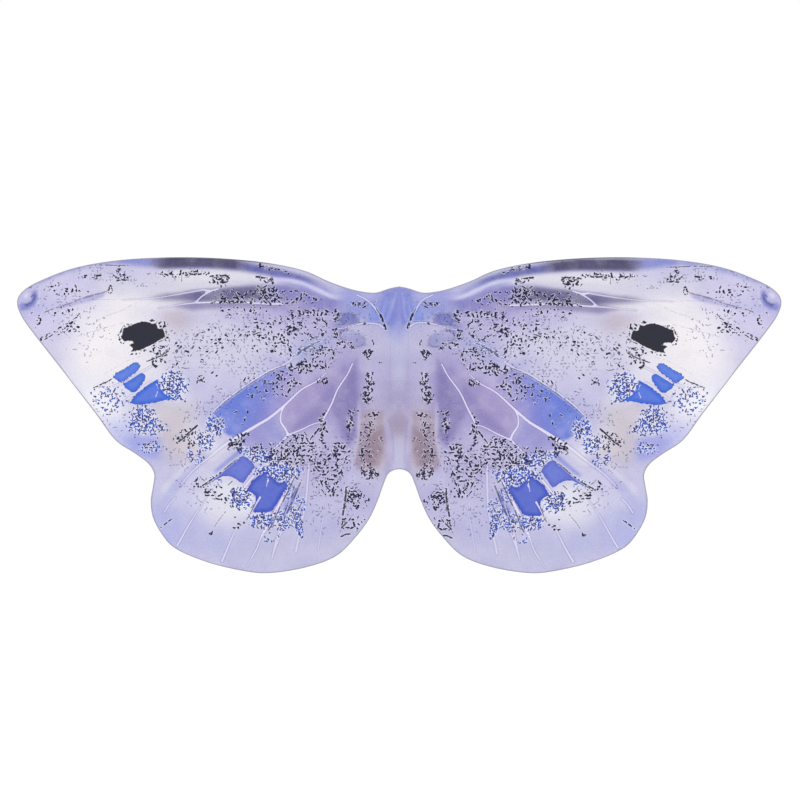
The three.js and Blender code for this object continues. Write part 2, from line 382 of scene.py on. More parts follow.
# the large blue cell under the forewing, which fades from blue to mauve towards the body
cell = [
    (180, -2), (200, -10), (225, -25), (250, -42), (270, -57), (287, -72), (290, -86), (283, -95),
    (272, -104),
    (264, -110), (250, -112), (220, -94), (200, -82), (175, -61), (150, -38), (150, -22), (160, -8),
]
cellFade = dict(lean=0.35, start=140, end=222, near="#9d92cc", far="#6a7ed8")

# bright blue patches, each with its own tone
patches = [
    ([(443, -20), (438, -13), (425, -6), (411, 3), (404, 4), (400, -2), (404, -9), (415, -18), (425, -25),
      (431, -28), (436, -24)], "#5b80e2"),
    ([(429, -29), (416, -22.5), (404, -14), (398, -12), (392, -17), (394, -25), (400, -33), (406, -41),
      (414, -43), (422, -37)], "#4c74dc"),
    ([(417, -60), (411, -50), (400, -40), (388, -31), (379, -26), (374, -22), (367, -40), (361, -47),
      (350, -50), (340, -48), (352, -53), (366, -56), (380, -59), (392, -61), (403, -62)], "#4770dd"),
    ([(303, -187), (290, -177), (273, -166), (262, -155), (250, -147), (243, -140), (236, -143),
      (228, -150),
      (222, -157), (228, -165), (235, -175), (241, -184), (247, -181), (255, -175), (263, -172),
      (272, -172),
      (286, -180)], "#6673cf"),
    ([(236, -194), (228, -180), (215, -170), (206, -166), (196, -174), (185, -183), (178, -180),
      (171, -188),
      (180, -200), (187, -212), (194, -223), (200, -228), (212, -228), (224, -229), (229, -222),
      (222, -211),
      (222, -203)], "#4a5cc4"),
    ([(163, -186), (158, -192), (160, -205), (168, -222), (175, -234), (181, -236), (178, -226),
      (170, -210),
      (165, -198)], "#5a6cc0"),
]

# panes with softer outlines: outline, colour, softness, strength
panes = [
    ([(25, -72), (44, -70), (60, -76), (63, -110), (71, -150), (64, -162), (40, -160), (26, -152),
      (22, -112)],
     "#a596ab", 5, 0.95),
    ([(28, -100), (46, -104), (56, -135), (52, -158), (34, -156), (26, -135)], "#97808c", 9, 0.8),
    ([(66, 8), (62, -60), (66, -110), (80, -128), (92, -98), (104, -64), (90, -36), (77, -10)],
     "#8278b0", 7, 0.85),
    ([(76, -4), (104, -38), (116, -72), (124, -90), (172, -108), (183, -86), (174, -62), (148, -38),
      (120, -22),
      (94, -4)], "#a094c6", 7, 0.85),
    ([(84, -4), (108, -34), (132, -66), (160, -92), (166, -104), (140, -94), (120, -84), (104, -54)],
     "#897fb5", 8, 0.7),
    ([(176, -112), (186, -90), (186, -74), (220, -96), (250, -114), (240, -132), (214, -140),
      (196, -132)],
     "#9a97d3", 6, 0.85),
    # the two darker wedges and the two pale strips that fan down from the neck are painted shade and
    # painted highlight of the neck creases, which the mesh also folds
    ([(0, 119), (9, 117), (15, 96), (22, 62), (12, 58), (4, 72), (0, 80)], "#7a82d0", 4, 0.75),
    ([(13, 112), (21, 108), (27, 94), (32, 78), (26, 62), (19, 66), (19, 84)], "#7383d4", 4, 0.75),
    ([(3, 114), (6, 113), (13, 92), (24, 62), (20, 61), (8, 90)], "#a3a9e6", 2.0, 0.55),
    ([(18, 106), (21, 104), (26, 86), (31, 66), (28, 64), (22, 84)], "#a6ade8", 1.8, 0.5),
    ([(29, 63), (27, 74), (34, 86), (42, 96), (46, 80), (49, 63)], "#728adc", 3, 0.75),
    ([(40, 96), (50, 102), (64, 104), (78, 96), (84, 82), (66, 78), (50, 66), (46, 84)],
     "#9098d8", 4, 0.7),
    ([(62, 66), (66, 76), (73, 82), (84, 80), (93, 74), (92, 67), (82, 60), (69, 62)],
     "#777bbd", 2.5, 0.85),
    ([(54, 31), (55, 41), (62, 49), (73, 53), (86, 49), (95, 41), (88, 34), (72, 30)],
     "#a3a0cf", 2.5, 0.8),
    ([(56, 32), (56, 40), (62, 44), (66, 36), (64, 31)], "#8f8fc6", 2, 0.7),
    ([(264, 88), (320, 84), (346, 90), (318, 97), (266, 97), (200, 95), (190, 88)], "#867fa9", 5, 0.85),
    ([(200, 128), (260, 132), (340, 130), (372, 138), (366, 146), (300, 146), (240, 142), (205, 136)],
     "#e6e4ec", 5, 0.8),
    ([(372, -118), (388, -112), (412, -112), (424, -116), (408, -132), (388, -142), (374, -136)],
     "#a4a8e6", 7, 0.7),
    ([(452, 113), (476, 107), (500, 99.5), (540, 86), (520, 90), (498, 93), (474, 98), (458, 104)],
     "#b4b0dc", 2.5, 0.85),
    ([(320, -85), (350, -70), (370, -60), (372, -80), (362, -110), (368, -140), (352, -150), (330, -130)],
     "#d0c8d2", 8, 0.7),
]

# the black spot with its two bites
spot = [
    (427, 55), (416, 60), (406, 64), (397, 67), (386, 65.5), (380, 62), (376, 66), (374, 59), (370, 54),
    (366, 57), (363, 50), (361, 43), (370, 38), (380, 32), (390, 27), (400, 22.5), (409, 21), (416, 18.5),
    (411, 25), (418, 31), (409, 33), (413, 37), (426, 36), (430, 43), (427, 50),
]

# pale veins: half width at start and end, brightness, then the line
veinWidth = 0.8      # of the widths listed
veins = [
    (0.4, 1.5, 0.7, [(425, 100), (400, 101.5), (375, 103), (350, 107), (325, 111.5), (303, 115.5)]),
    (1.5, 1.3, 1.0, [(303, 115.5), (290, 114.5), (280, 117)]),
    (1.5, 1.2, 0.9, [(290, 114), (303, 107), (312, 99), (315, 96)]),
    (0.4, 1.5, 0.75, [(372, 87), (350, 90.5), (328, 94), (314, 95.5)]),
    (1.5, 1.5, 0.95, [(314, 95.5), (275, 96.5), (240, 96), (205, 94), (180, 93.5)]),
    (1.2, 1.2, 0.8, [(288, -73), (270, -56), (250, -41), (225, -24), (200, -9), (180, -1), (166, 8)]),
    (0.7, 3.0, 1.0, [(112, -12), (128, -26), (150, -38), (175, -61), (200, -82), (220, -94),
    (250, -112)]),
    (3.0, 2.0, 0.9, [(250, -112), (272, -126), (292, -142)]),
    (1.4, 0.8, 0.9, [(292, -142), (320, -165), (338, -186)]),
    (0.9, 1.1, 0.9, [(345, -205), (355, -216), (363, -228)]),
    (1.0, 1.6, 1.0, [(72, 2), (80, -15), (95, -38), (105, -62), (116, -82), (120, -90)]),
    (1.0, 2.0, 1.0, [(175, -61), (182, -74), (183, -88), (175, -101), (172, -109)]),
    (1.9, 0.9, 0.95, [(172, -109), (185, -122), (195, -132)]),
    (1.5, 0.9, 0.9, [(172, -109), (150, -100), (133, -92), (120, -89)]),
    (0.8, 1.3, 0.95, [(66, 108), (50, 100), (38, 88), (30, 77)]),
    (0.7, 1.4, 0.7, [(98, 55), (84, 57), (72, 60), (62, 63), (48, 64), (32, 62), (25, 57)]),
    (2.0, 1.4, 1.0, [(212, -158), (225, -172), (234, -183), (246, -197)]),
    (1.2, 0.7, 1.0, [(204, -158), (203, -172), (205, -188)]),
    (1.6, 0.8, 1.0, [(213, -163), (204, -170), (202, -180)]),
    (2.6, 2.2, 1.0, [(155, -160), (166, -180), (178, -202), (190, -224), (199, -240)]),
    (2.0, 1.2, 1.0, [(199, -240), (206, -254), (214, -268)]),
    (1.3, 1.0, 0.8, [(176, -232), (184, -252), (190, -270), (197, -300)]),
    (1.4, 1.0, 0.8, [(160, -188), (168, -208), (176, -230)]),
    (1.8, 0.9, 1.0, [(215, -205), (221, -215), (229, -229)]),
    (0.5, 1.6, 0.9, [(296, -203), (308, -221), (322, -243), (333, -262), (343, -280)]),
    (0.8, 1.7, 0.9, [(248, -248), (256, -262), (265, -283), (274, -304)]),
    (0.9, 1.3, 0.9, [(205, -245), (212, -262), (220, -284), (228, -298)]),
    (0.8, 0.8, 0.6, [(228, -298), (235, -312)]),
    (0.8, 1.3, 0.75, [(180, -255), (187, -272), (194, -290), (197, -300)]),
    (1.6, 1.9, 0.7, [(139, -150), (142, -185), (145, -215), (152, -250), (160, -290)]),
    (0.8, 1.2, 0.5, [(113, -212), (117, -235), (122, -262), (125, -286)]),
    (1.6, 1.2, 0.9, [(441, -33), (428, -29), (414, -21), (400, -12), (384, -3)]),
    (1.5, 1.3, 0.9, [(426, -58), (412, -47), (398, -36), (384, -26)]),
    (1.0, 0.7, 0.95, [(376, -28), (373, -38), (377, -50)]),
    (0.7, 0.9, 0.8, [(118, 36), (140, 30), (152, 24), (166, 12)]),
]

# thin dark pencilled lines: half width, darkness, then the line
penLines = [
    (0.6, 0.35, [(550, 79), (525, 89), (500, 97.5), (475, 105), (452, 112)]),
    (0.6, 0.30, [(393, 98.5), (408, 94), (425, 85), (450, 76), (466, 68)]),
    (0.6, 0.25, [(497, 44), (470, 52), (450, 58), (425, 65)]),
    (0.6, 0.22, [(455, -14), (440, -5), (420, 6), (398, 14)]),
    (0.6, 0.28, [(470, 100), (440, 100.5), (425, 100)]),
    (0.9, 1.0, [(548, 39), (541, 43), (535, 47)]),
    (0.9, 1.0, [(571, 77), (566, 82)]),
    (1.1, 0.9, [(472, -36), (463, -32), (458, -29), (450, -26), (444, -22)]),
    (1.1, 0.95, [(390, 5), (380, 9), (368, 14), (357, 21)]),
    (1.6, 0.95, [(341, -119), (333, -113), (323, -103), (312, -94)]),
    (1.3, 0.95, [(304, -187), (295, -181), (288, -176), (276, -167)]),
    (1.0, 0.8, [(276, -167), (262, -155), (250, -146)]),
    (1.1, 1.0, [(368, -252), (360, -245), (351, -238)]),
    (0.7, 0.7, [(285, -250), (277, -238), (268, -227)]),
    (0.9, 0.8, [(264, -186), (258, -180)]),
    (1.9, 1.0, [(29, 77), (25, 67)]),
    (2.0, 1.0, [(23.5, 62), (21, 55)]),
    (0.9, 0.85, [(36, 87), (32, 81), (29, 77)]),
    (1.6, 0.95, [(87, -232), (85, -218), (83, -205), (82, -190)]),
    (1.3, 0.9, [(90, -253), (84, -247), (78, -241), (75, -236)]),
    (1.4, 0.95, [(90, -266), (82, -262), (75, -262)]),
    (1.3, 0.9, [(157, -177), (163, -171), (166, -168)]),
    (0.8, 0.7, [(165, 12), (152, 22), (140, 29)]),
    (0.8, 0.5, [(198, -11), (186, -5), (176, -2)]),
    (1.6, 1.0, [(137, -116), (130, -106), (124, -99)]),
    (1.5, 0.95, [(292, 136), (284, 138), (278, 137), (268, 138), (263, 134)]),
    (1.5, 0.95, [(330, 142), (322, 140), (314, 139), (306, 140)]),
    (1.7, 0.95, [(221, 136), (210, 134), (198, 132), (193, 128), (196, 125)]),
    (1.3, 0.9, [(219, 122), (212, 118), (205, 122)]),
    (1.0, 0.7, [(490, 153), (460, 154), (440, 153), (418, 153)]),
    (0.8, 0.75, [(547, 82), (534, 86.5), (520, 91), (505, 96)]),
    (0.8, 0.6, [(452, 113), (476, 107), (500, 99.5)]),
    (0.9, 0.8, [(123, 36), (132, 32), (141, 26), (150, 20), (158, 14)]),
    (0.7, 0.7, [(130, 26), (139, 21), (147, 16)]),
    (1.5, 0.7, [(153, -183), (160, -200), (168, -218), (178, -238)]),
    (1.3, 0.75, [(164, -178), (173, -198), (184, -220), (194, -242), (202, -256)]),
    (1.2, 0.7, [(148, -208), (156, -224), (165, -242)]),
    (0.9, 0.7, [(222, -214), (230, -230), (236, -240)]),
    (0.6, 0.35, [(54, 31), (55, 41), (62, 49), (73, 53), (86, 49), (95, 41)]),
    (0.6, 0.4, [(62, 66), (66, 76), (73, 82), (84, 80), (93, 74)]),
    (0.7, 0.55, [(30, 65), (45, 66), (60, 65), (72, 60), (88, 57)]),
    (0.9, 0.6, [(288, -75), (270, -58.5), (250, -43.5), (225, -26.5), (200, -11), (182, -3)]),
    (1.4, 0.95, [(436, 129), (428, 131), (421, 130)]),
    (1.3, 0.95, [(441, 138), (437, 134)]),
    (1.6, 1.0, [(468, 137), (461, 138)]),
    (1.3, 0.9, [(501, 124), (499, 119)]),
    (0.8, 0.6, [(320, 17), (312, 21), (304, 21)]),
    (0.8, 0.6, [(299, 12), (294, 17), (289, 21)]),
    (1.1, 0.9, [(225, 46), (218, 49), (212, 49)]),
    (1.0, 0.8, [(255, 43), (252, 48)]),
]

# loose marks: x, z, reach in x, reach in z, turn, how thick they lie
darkMarks = [
    (312, 140, 22, 4, 0, 0.55), (277, 131, 15, 8, 0, 0.8), (205, 131, 15, 5, -8, 0.7),
    (200, 108, 22, 14, -20, 0.95), (240, 108, 50, 9, 0, 0.5), (232, 98, 78, 4.5, 0, 0.65),
    (160, 104, 34, 12, 0, 0.3), (240, 84, 40, 8, 0, 0.4), (150, 62, 32, 25, 0, 0.22),
    (135, 80, 14, 7, 0, 0.7), (165, 52, 14, 12, 0, 0.7), (186, 42, 18, 30, 0, 0.3),
    (215, 48, 30, 28, 0, 0.26), (130, 12, 24, 16, 30, 0.32), (150, -4, 26, 9, 0, 0.7),
    (175, -26, 24, 16, -30, 0.42), (195, -35, 26, 16, -30, 0.24), (97, 78, 8, 11, 0, 0.55),
    (98, 48, 6, 9, 0, 0.85), (85, 34, 16, 6, 0, 0.5), (76, 24, 10, 4, 0, 0.5),
    (48, 18, 7, 9, 0, 1.2), (64, 92, 5, 5, 0, 0.6), (46, -24, 6, 13, 0, 1.3), (48, -40, 6, 12, 0, 1.15),
    (52, -48, 6, 13, 0, 0.95), (38, -76, 11, 5, 0, 0.8), (76, -90, 6, 14, 0, 0.85),
    (72, -72, 9, 4, 0, 0.7), (118, -98, 8, 24, 0, 0.4), (152, -115, 14, 7, -20, 0.6),
    (160, -135, 42, 22, 0, 0.6), (95, -140, 18, 22, 0, 0.5), (97, -172, 14, 16, 0, 0.42),
    (120, -165, 16, 26, 0, 0.42), (48, -118, 16, 50, 0, 0.28), (29, -116, 3, 5, 0, 0.9),
    (45, -168, 15, 9, 0, 0.85), (72, -206, 14, 14, 0, 0.85), (60, -212, 14, 12, 0, 0.5),
    (105, -190, 22, 14, 0, 0.35), (70, -246, 20, 14, 0, 0.25), (330, -108, 20, 12, 35, 0.55),
    (322, -122, 9, 6, 0, 0.8), (250, -124, 14, 9, -40, 0.95), (245, -110, 6, 5, 0, 0.7),
    (200, -140, 9, 6, 30, 0.95), (218, -128, 16, 6, 0, 0.4), (370, 14, 18, 18, 30, 0.6),
    (376, 3, 8, 8, 0, 0.75), (306, -24, 8, 7, 0, 0.8), (283, -18, 10, 12, 0, 0.3),
    (430, 142, 8, 12, 0, 0.85), (428, 132, 12, 4, 0, 0.9), (446, 116, 5, 8, 0, 0.75),
    (517, 117, 34, 11, -10, 0.28), (480, 136, 22, 4, 0, 0.4), (520, 56, 24, 9, 20, 0.42),
    (505, 52, 14, 8, 20, 0.55), (520, 84, 24, 7, 12, 0.3), (556, 70, 5, 8, 0, 0.6),
    (350, 141, 20, 5, 0, 0.4), (270, 40, 50, 24, 0, 0.13),
    (300, 20, 44, 20, 0, 0.08), (345, 22, 16, 26, 0, 0.14), (292, -193, 34, 13, -25, 0.42),
    (258, -205, 26, 14, -30, 0.35), (291, -260, 4, 3.5, 0, 1.0), (299, -272, 2, 2, 0, 1.0),
    (42, 40, 14, 18, 0, 0.12), (62, 92, 16, 10, 0, 0.25), (40, 100, 8, 6, 0, 0.3),
    (50, 60, 12, 4, 0, 0.3), (30, 2, 4, 2, 0, 0.6),
    (118, -25, 10, 6, 0, 0.8), (240, -245, 20, 12, 0, 0.2), (365, 60, 7, 9, 0, 0.5),
    (225, -40, 26, 24, -35, 0.16), (250, -80, 20, 20, -35, 0.1),
]
blueMarks = [
    (350, -32, 26, 22, 0, 0.78), (345, -50, 18, 7, -10, 0.7), (395, -88, 26, 24, -20, 0.9),
    (392, -78, 13, 13, 0, 1.1), (450, -52, 28, 24, -30, 0.4), (383, -100, 26, 14, 0, 0.5),
    (385, -128, 20, 9, 0, 0.6), (208, -240, 26, 14, 0, 0.8), (244, -206, 20, 18, -30, 0.85),
    (236, -198, 9, 9, 0, 0.8), (180, -238, 18, 18, 0, 0.82), (158, -240, 8, 27, 12, 1.15),
    (150, -215, 8, 14, 10, 0.5), (188, -167, 36, 15, 0, 0.98), (214, -142, 28, 12, -20, 0.85),
    (284, -94, 17, 18, 0, 0.95), (300, -118, 16, 14, -30, 0.65), (316, -142, 16, 12, -30, 0.5),
    (238, -132, 14, 8, 0, 0.6), (142, 26, 24, 5, 33, 0.5), (283, -176, 10, 5, -30, 0.7),
    (172, -195, 10, 20, 20, 0.5), (200, -268, 16, 8, 0, 0.3), (428, -36, 10, 10, 0, 0.3),
]
faintMarks = [
    (270, 40, 70, 34, 0, 0.5), (300, 15, 70, 26, 0, 0.5), (345, 25, 26, 34, 0, 0.6),
    (240, 70, 60, 16, 0, 0.4),
    (200, 20, 34, 30, 0, 0.4), (230, -20, 40, 26, -30, 0.5), (270, -45, 20, 14, -30, 0.5),
    (480, 60, 60, 22, -14, 0.3), (520, 100, 60, 30, -20, 0.3), (500, 30, 40, 20, -30, 0.2),
    (450, 138, 90, 14, -8, 0.4), (350, 138, 60, 12, 0, 0.35), (440, -70, 40, 34, -40, 0.3),
    (300, -75, 40, 34, 0, 0.35), (110, -190, 60, 60, 0, 0.4), (140, -140, 60, 34, 0, 0.4),
    (120, -230, 60, 34, 0, 0.2), (310, -200, 40, 24, -30, 0.35), (330, -150, 40, 20, -40, 0.3),
    (60, -130, 30, 50, 0, 0.3), (130, 50, 60, 50, 0, 0.35), (60, 85, 30, 20, 0, 0.3),
]
# strokes strung along a line: reach, how thick, the line
markChains = [
    (3.2, 0.85, [(112, 82), (118, 76), (128, 79), (141, 78), (152, 80)]),
    (2.6, 0.85, [(113, 58), (116, 67), (126, 69)]),
    (3.0, 0.95, [(115, 52), (122, 45), (130, 41), (140, 45), (150, 51), (160, 53)]),
    (2.6, 0.85, [(147, 59), (155, 64), (161, 70), (165, 79)]),
    (2.4, 0.9, [(170, 57), (170, 46)]),
    (2.2, 0.85, [(186, 50), (190, 42), (199, 43), (202, 49)]),
    (2.0, 0.9, [(208, 41), (214, 44), (219, 40)]),
    (2.6, 0.8, [(178, 39), (171, 33), (168, 22)]),
    (2.0, 0.8, [(161, 17), (168, 15)]),
    (2.6, 0.95, [(98, 14), (104, 22), (110, 26), (120, 25), (127, 19), (127, 12)]),
    (3.2, 0.95, [(103, 11), (107, 5), (112, 0), (114, -5)]),
    (2.6, 0.8, [(384, 68), (372, 63), (362, 52), (358, 42)]),
    (2.4, 0.8, [(416, 18), (404, 19), (392, 25), (378, 32), (362, 41)]),
    (2.4, 0.8, [(428, 34), (431, 44), (427, 57), (414, 62)]),
    (1.8, 0.9, [(492, 78), (503, 69), (512, 62), (520, 57)]),
    (1.6, 1.0, [(540, 49), (548, 43), (556, 38)]),
    (1.6, 0.9, [(561, 70), (557, 64), (562, 58)]),
    (2.0, 0.9, [(370, 141), (362, 137), (352, 140), (344, 134), (336, 140), (326, 137)]),
    (2.6, 1.0, [(324, 141), (314, 144), (304, 140), (296, 142)]),
    (2.6, 0.9, [(292, 136), (284, 130), (274, 134), (268, 126), (276, 123)]),
    (2.2, 0.9, [(216, 153), (204, 150), (192, 148), (180, 145), (168, 141)]),
    (3.4, 1.1, [(42, -14), (48, -20), (42, -27), (49, -33), (43, -40), (48, -46), (43, -54)]),
    (2.0, 1.1, [(43, -18), (44, -34), (46, -52)]),
    (2.6, 1.1, [(50, 24), (45, 19), (50, 13), (55, 18)]),
    (2.6, 1.1, [(99, 82), (95, 76), (99, 70)]),
    (2.6, 1.1, [(98, 55), (96, 48), (100, 42)]),
    (2.4, 1.0, [(70, -70), (75, -78), (72, -90), (76, -104)]),
    (2.2, 0.75, [(113, -72), (120, -84), (116, -98), (121, -114), (114, -128)]),
    (2.6, 0.7, [(88, -122), (96, -130), (101, -142), (94, -152), (100, -166), (97, -178)]),
    (2.8, 1.1, [(38, -158), (46, -166), (54, -160), (56, -172), (45, -174)]),
    (2.8, 1.1, [(60, -198), (68, -204), (74, -198), (80, -210), (70, -214), (66, -222)]),
    (2.0, 1.1, [(80, -190), (82, -206), (84, -222)]),
    (2.2, 1.0, [(78, -232), (86, -240), (88, -252)]),
    (2.6, 1.1, [(232, -106), (242, -110), (250, -118), (258, -122), (262, -130)]),
    (2.4, 1.1, [(240, -118), (250, -128), (262, -122)]),
    (2.4, 1.0, [(190, -138), (198, -142), (206, -138)]),
    (2.4, 1.0, [(146, -108), (154, -116), (162, -112)]),
    (3.0, 0.95, [(120, -5), (128, -1), (134, -4), (142, 0), (148, 4), (158, -4), (153, -12)]),
]
# the two oval cells at the wing's root, with darker rims
ovalLine = "#4c4f92"
ovals = [(79, 71, 17, 8.5, -14, "#7478bb"), (73, 41, 21, 11, -22, "#9c9bcb")]


def softSpot(points, x, z, reachX, reachZ, turn):
    # 1 in the middle of a turned oval, falling to 0 past its reach
    a = math.radians(turn)
    dx, dz = points[:, 0] - x, points[:, 1] - z
    u = (dx * math.cos(a) - dz * math.sin(a)) / reachX
    v = (dx * math.sin(a) + dz * math.cos(a)) / reachZ
    return np.hypot(u, v)


def blendTo(colour, target, share):
    return colour * (1 - share[:, None]) + np.array(tint(target)) * share[:, None]


def drawPrint(points):
    # every field of the print at the cloth's points; the ground colour also carries painted shade and
    # painted highlights of the neck creases and the tip's dimple
    ground = np.tile(np.array(tint(groundColour)), (len(points), 1))
    for x, z, rx, rz, turn, colour, strength in washes:
        reach = softSpot(points, x, z, rx, rz, turn)
        ground = blendTo(ground, colour, strength * np.exp(-0.75 * reach ** 2.4))
    inCell = depthInside(points, cell)
    leaning = points[:, 0] + cellFade["lean"] * points[:, 1]
    fade = smooth(cellFade["start"], cellFade["end"], leaning)[:, None]
    cellColour = np.array(tint(cellFade["near"])) * (1 - fade) + np.array(tint(cellFade["far"])) * fade
    share = (smooth(-2.0, 2.5, inCell) * (0.35 + 0.65 * smooth(150, 195, points[:, 0])))[:, None]
    ground = ground * (1 - share) + cellColour * share
    for outline, colour, soft, strength in panes:
        ground = blendTo(ground, colour, strength * smooth(-soft, soft, depthInside(points, outline)))
    for line, wide, wideEnd, soft, colour, strength in bands:
        distance, along = lineDistance(points, splineThrough(line, 9))
        half = wide + (wideEnd - wide) * along
        ends = smooth(0, 0.2, along) * smooth(0, 0.2, 1 - along)
        ground = blendTo(ground, colour, strength * (1 - smooth(-soft, soft, distance - half)) * ends)
    for x, z, rx, rz, turn, colour in ovals:
        reach = softSpot(points, x, z, rx, rz, turn)
        ground = blendTo(ground, colour, 0.75 * (1 - smooth(0.85, 1.05, reach)))
        ground = blendTo(ground, ovalLine, 0.7 * np.exp(-((reach - 1.0) / 0.08) ** 2))

    patch = np.full(len(points), -50.0)
    patchTone = np.tile(np.array(tint("#4a68d2")), (len(points), 1))
    for outline, colour in patches:
        depth = depthInside(points, outline)
        nearer = depth > patch
        patch = np.where(nearer, depth, patch)
        patchTone[nearer] = tint(colour)

    vein = np.full(len(points), -6.0)
    veinGlow = np.zeros(len(points))
    for wide, wideEnd, glow, line in veins:
        distance, along = lineDistance(points, splineThrough(line, 6))
        depth = veinWidth * (wide + (wideEnd - wide) * along) - distance
        nearer = depth > vein
        vein = np.where(nearer, depth, vein)
        veinGlow = np.where(nearer, glow, veinGlow)

    pen = np.full(len(points), -6.0)
    penDark = np.zeros(len(points))
    for wide, dark, line in penLines:
        distance, along = lineDistance(points, line)
        depth = wide - distance
        nearer = depth > pen
        pen = np.where(nearer, depth, pen)
        penDark = np.where(nearer, dark, penDark)

    marks = {}
    for name, rows in (("darkMark", darkMarks), ("blueMark", blueMarks), ("faintMark", faintMarks)):
        total = np.zeros(len(points))
        for x, z, rx, rz, turn, thick in rows:
            reach = softSpot(points, x, z, rx, rz, turn)
            total = np.maximum(total, thick * (1 - smooth(0.55, 1.25, reach)))
        marks[name] = total
    for reach, thick, line in markChains:
        distance, _ = lineDistance(points, splineThrough(line, 6) if len(line) > 2 else line)
        marks["darkMark"] = np.maximum(marks["darkMark"], thick * (1 - smooth(0.6, 1.2, distance / reach)))
    return dict(
        ground=ground, patchTone=patchTone, patch=patch, spot=np.clip(depthInside(points, spot), -6, 6),
        vein=vein, veinGlow=veinGlow, pen=pen, penDark=penDark, **marks,
    )


# The right half is cut a little off the left one's mirror image: at each place x, z of the left half's
# print, the right half's lies dx and dz away.
printSlip = [
    (0, 120, 0, 0), (0, 0, 0, 0), (0, -120, 0, 0), (22, 58, -8, 2), (55, 105, -14, 0), (50, 20, -8, -1),
    (48, -32, -7, 0), (50, -120, -7, 0), (200, 130, -15, -1), (275, 135, -12, -3), (320, 135, -10, -4),
    (310, 100, -9, -6), (150, 55, -4, -3), (120, 10, -4, -3), (395, 45, -3, -3), (420, -12, -2, -1),
    (172, -108, 0, -7), (178, -61, 2, -7), (105, -65, 0, -4), (265, -165, -5, -7), (205, -195, -3, -8),
    (85, -210, -10, -2), (225, -280, -12, -2), (150, -250, -9, -2), (332, -260, -6, -3),
    (326, -110, -1, -6),
    (397, -86, -4, 0), (560, 90, 0, 0), (590, 100, 0, 0), (470, -60, 0, 0), (380, -200, 0, 0),
    (500, 130, -4, -2), (300, -320, -3, 0),
]


def slipAt(points):
    anchors = np.array(printSlip, float)
    away = np.hypot(points[:, None, 0] - anchors[None, :, 0], points[:, None, 1] - anchors[None, :, 1])
    pull = 1 / (away + 8.0) ** 3
    pull /= pull.sum(axis=1)[:, None]
    return (pull @ anchors[:, 2:]) * smooth(0, 16, points[:, 0])[:, None]


def printPointFor(points, side):
    # which place of the print lies at each point of the cloth
    if side < 0:
        return points
    place = points.copy()
    for _ in range(6):
        place = points - slipAt(place)
    return place


# meshing the half cloth
def sideStep(line, distance):
    ahead = np.gradient(line, axis=0)
    ahead /= np.linalg.norm(ahead, axis=1)[:, None]
    return line + np.stack([-ahead[:, 1], ahead[:, 0]], 1) * distance


def halfCloth(side):
    # flat triangles of one half, with the veins and pen lines as edges of the mesh
    edge = sideStep(halfEdge, -cut["hemInset"])
    edge[0, 0] = edge[-1, 0] = 0
    down = np.linspace(edge[-1, 1], edge[0, 1], cut["middlePoints"])[1:-1]
    bodyLine = np.stack([np.zeros(len(down)), down], 1)
    outline = np.vstack([edge, bodyLine])
    fixed = [Vector(p) for p in outline]
    lines = []
    for line in [v[3] for v in veins] + [p[2] for p in penLines]:
        step = cut["lineStep"]
        place = splineThrough(line, step) if len(line) > 2 else resample(line, step)
        if side > 0:
            place = place + slipAt(place)
        place = place[depthInside(place, outline) > 1.0]
        start = len(fixed)
        fixed += [Vector(p) for p in place]
        lines += [(i, i + 1) for i in range(start, len(fixed) - 1)]
    s = cut["spacing"]
    gx, gz = np.meshgrid(np.arange(s, cut["wide"], s), np.arange(cut["low"], cut["high"], s * 0.87))
    gx = gx + (np.arange(len(gx)) % 2)[:, None] * s / 2
    grid = np.stack([gx.ravel(), gz.ravel()], 1)
    grid = grid[insideOutline(grid, outline)]
    known = np.array([tuple(p) for p in fixed])
    cells = set(map(tuple, np.floor(known / s).astype(int)))
    keys = np.floor(grid / s).astype(int)
    free = np.array([tuple(k) not in cells for k in keys])
    grid = grid[free]
    grid = grid[depthInside(grid, outline) > 0.6 * s]
    points, _, faces, *_ = geometry.delaunay_2d_cdt(
        fixed + [Vector(p) for p in grid], lines, [list(range(len(outline)))], 1, 1e-4)
    return np.array([tuple(p) for p in points]), np.array([f for f in faces if len(f) == 3])


def rimEdges(faces):
    # directed edges that only one triangle has
    pairs = np.vstack([faces[:, [0, 1]], faces[:, [1, 2]], faces[:, [2, 0]]])
    have = set(map(tuple, pairs))
    return np.array([p for p in pairs if (p[1], p[0]) not in have])


def newMesh(name, verts, faces):
    mesh = bpy.data.meshes.new(name)
    mesh.from_pydata([tuple(v) for v in verts], [], [tuple(f) for f in faces])
    mesh.polygons.foreach_set("use_smooth", [True] * len(mesh.polygons))
    mesh.update()
    obj = bpy.data.objects.new(name, mesh)
    bpy.context.scene.collection.objects.link(obj)
    return obj


def storePlace(mesh, name, places):
    # where each point lies on its flat piece, in mm
    mesh.attributes.new(name, "FLOAT_VECTOR", "POINT").data.foreach_set(
        "vector", np.asarray(places, np.float32).ravel())


def storeField(mesh, name, values):
    # a number or a colour for each point
    values = np.asarray(values, np.float32)
    if values.ndim == 1:
        mesh.attributes.new(name, "FLOAT", "POINT").data.foreach_set("value", values)
    else:
        rgba = np.c_[values, np.ones(len(values), np.float32)].astype(np.float32)
        mesh.attributes.new(name, "FLOAT_COLOR", "POINT").data.foreach_set("color", rgba.ravel())


unwrap = dict(front=0.00140, back=0.00058, split=0.302, margin=0.004, nudge=0.0006, below=325)


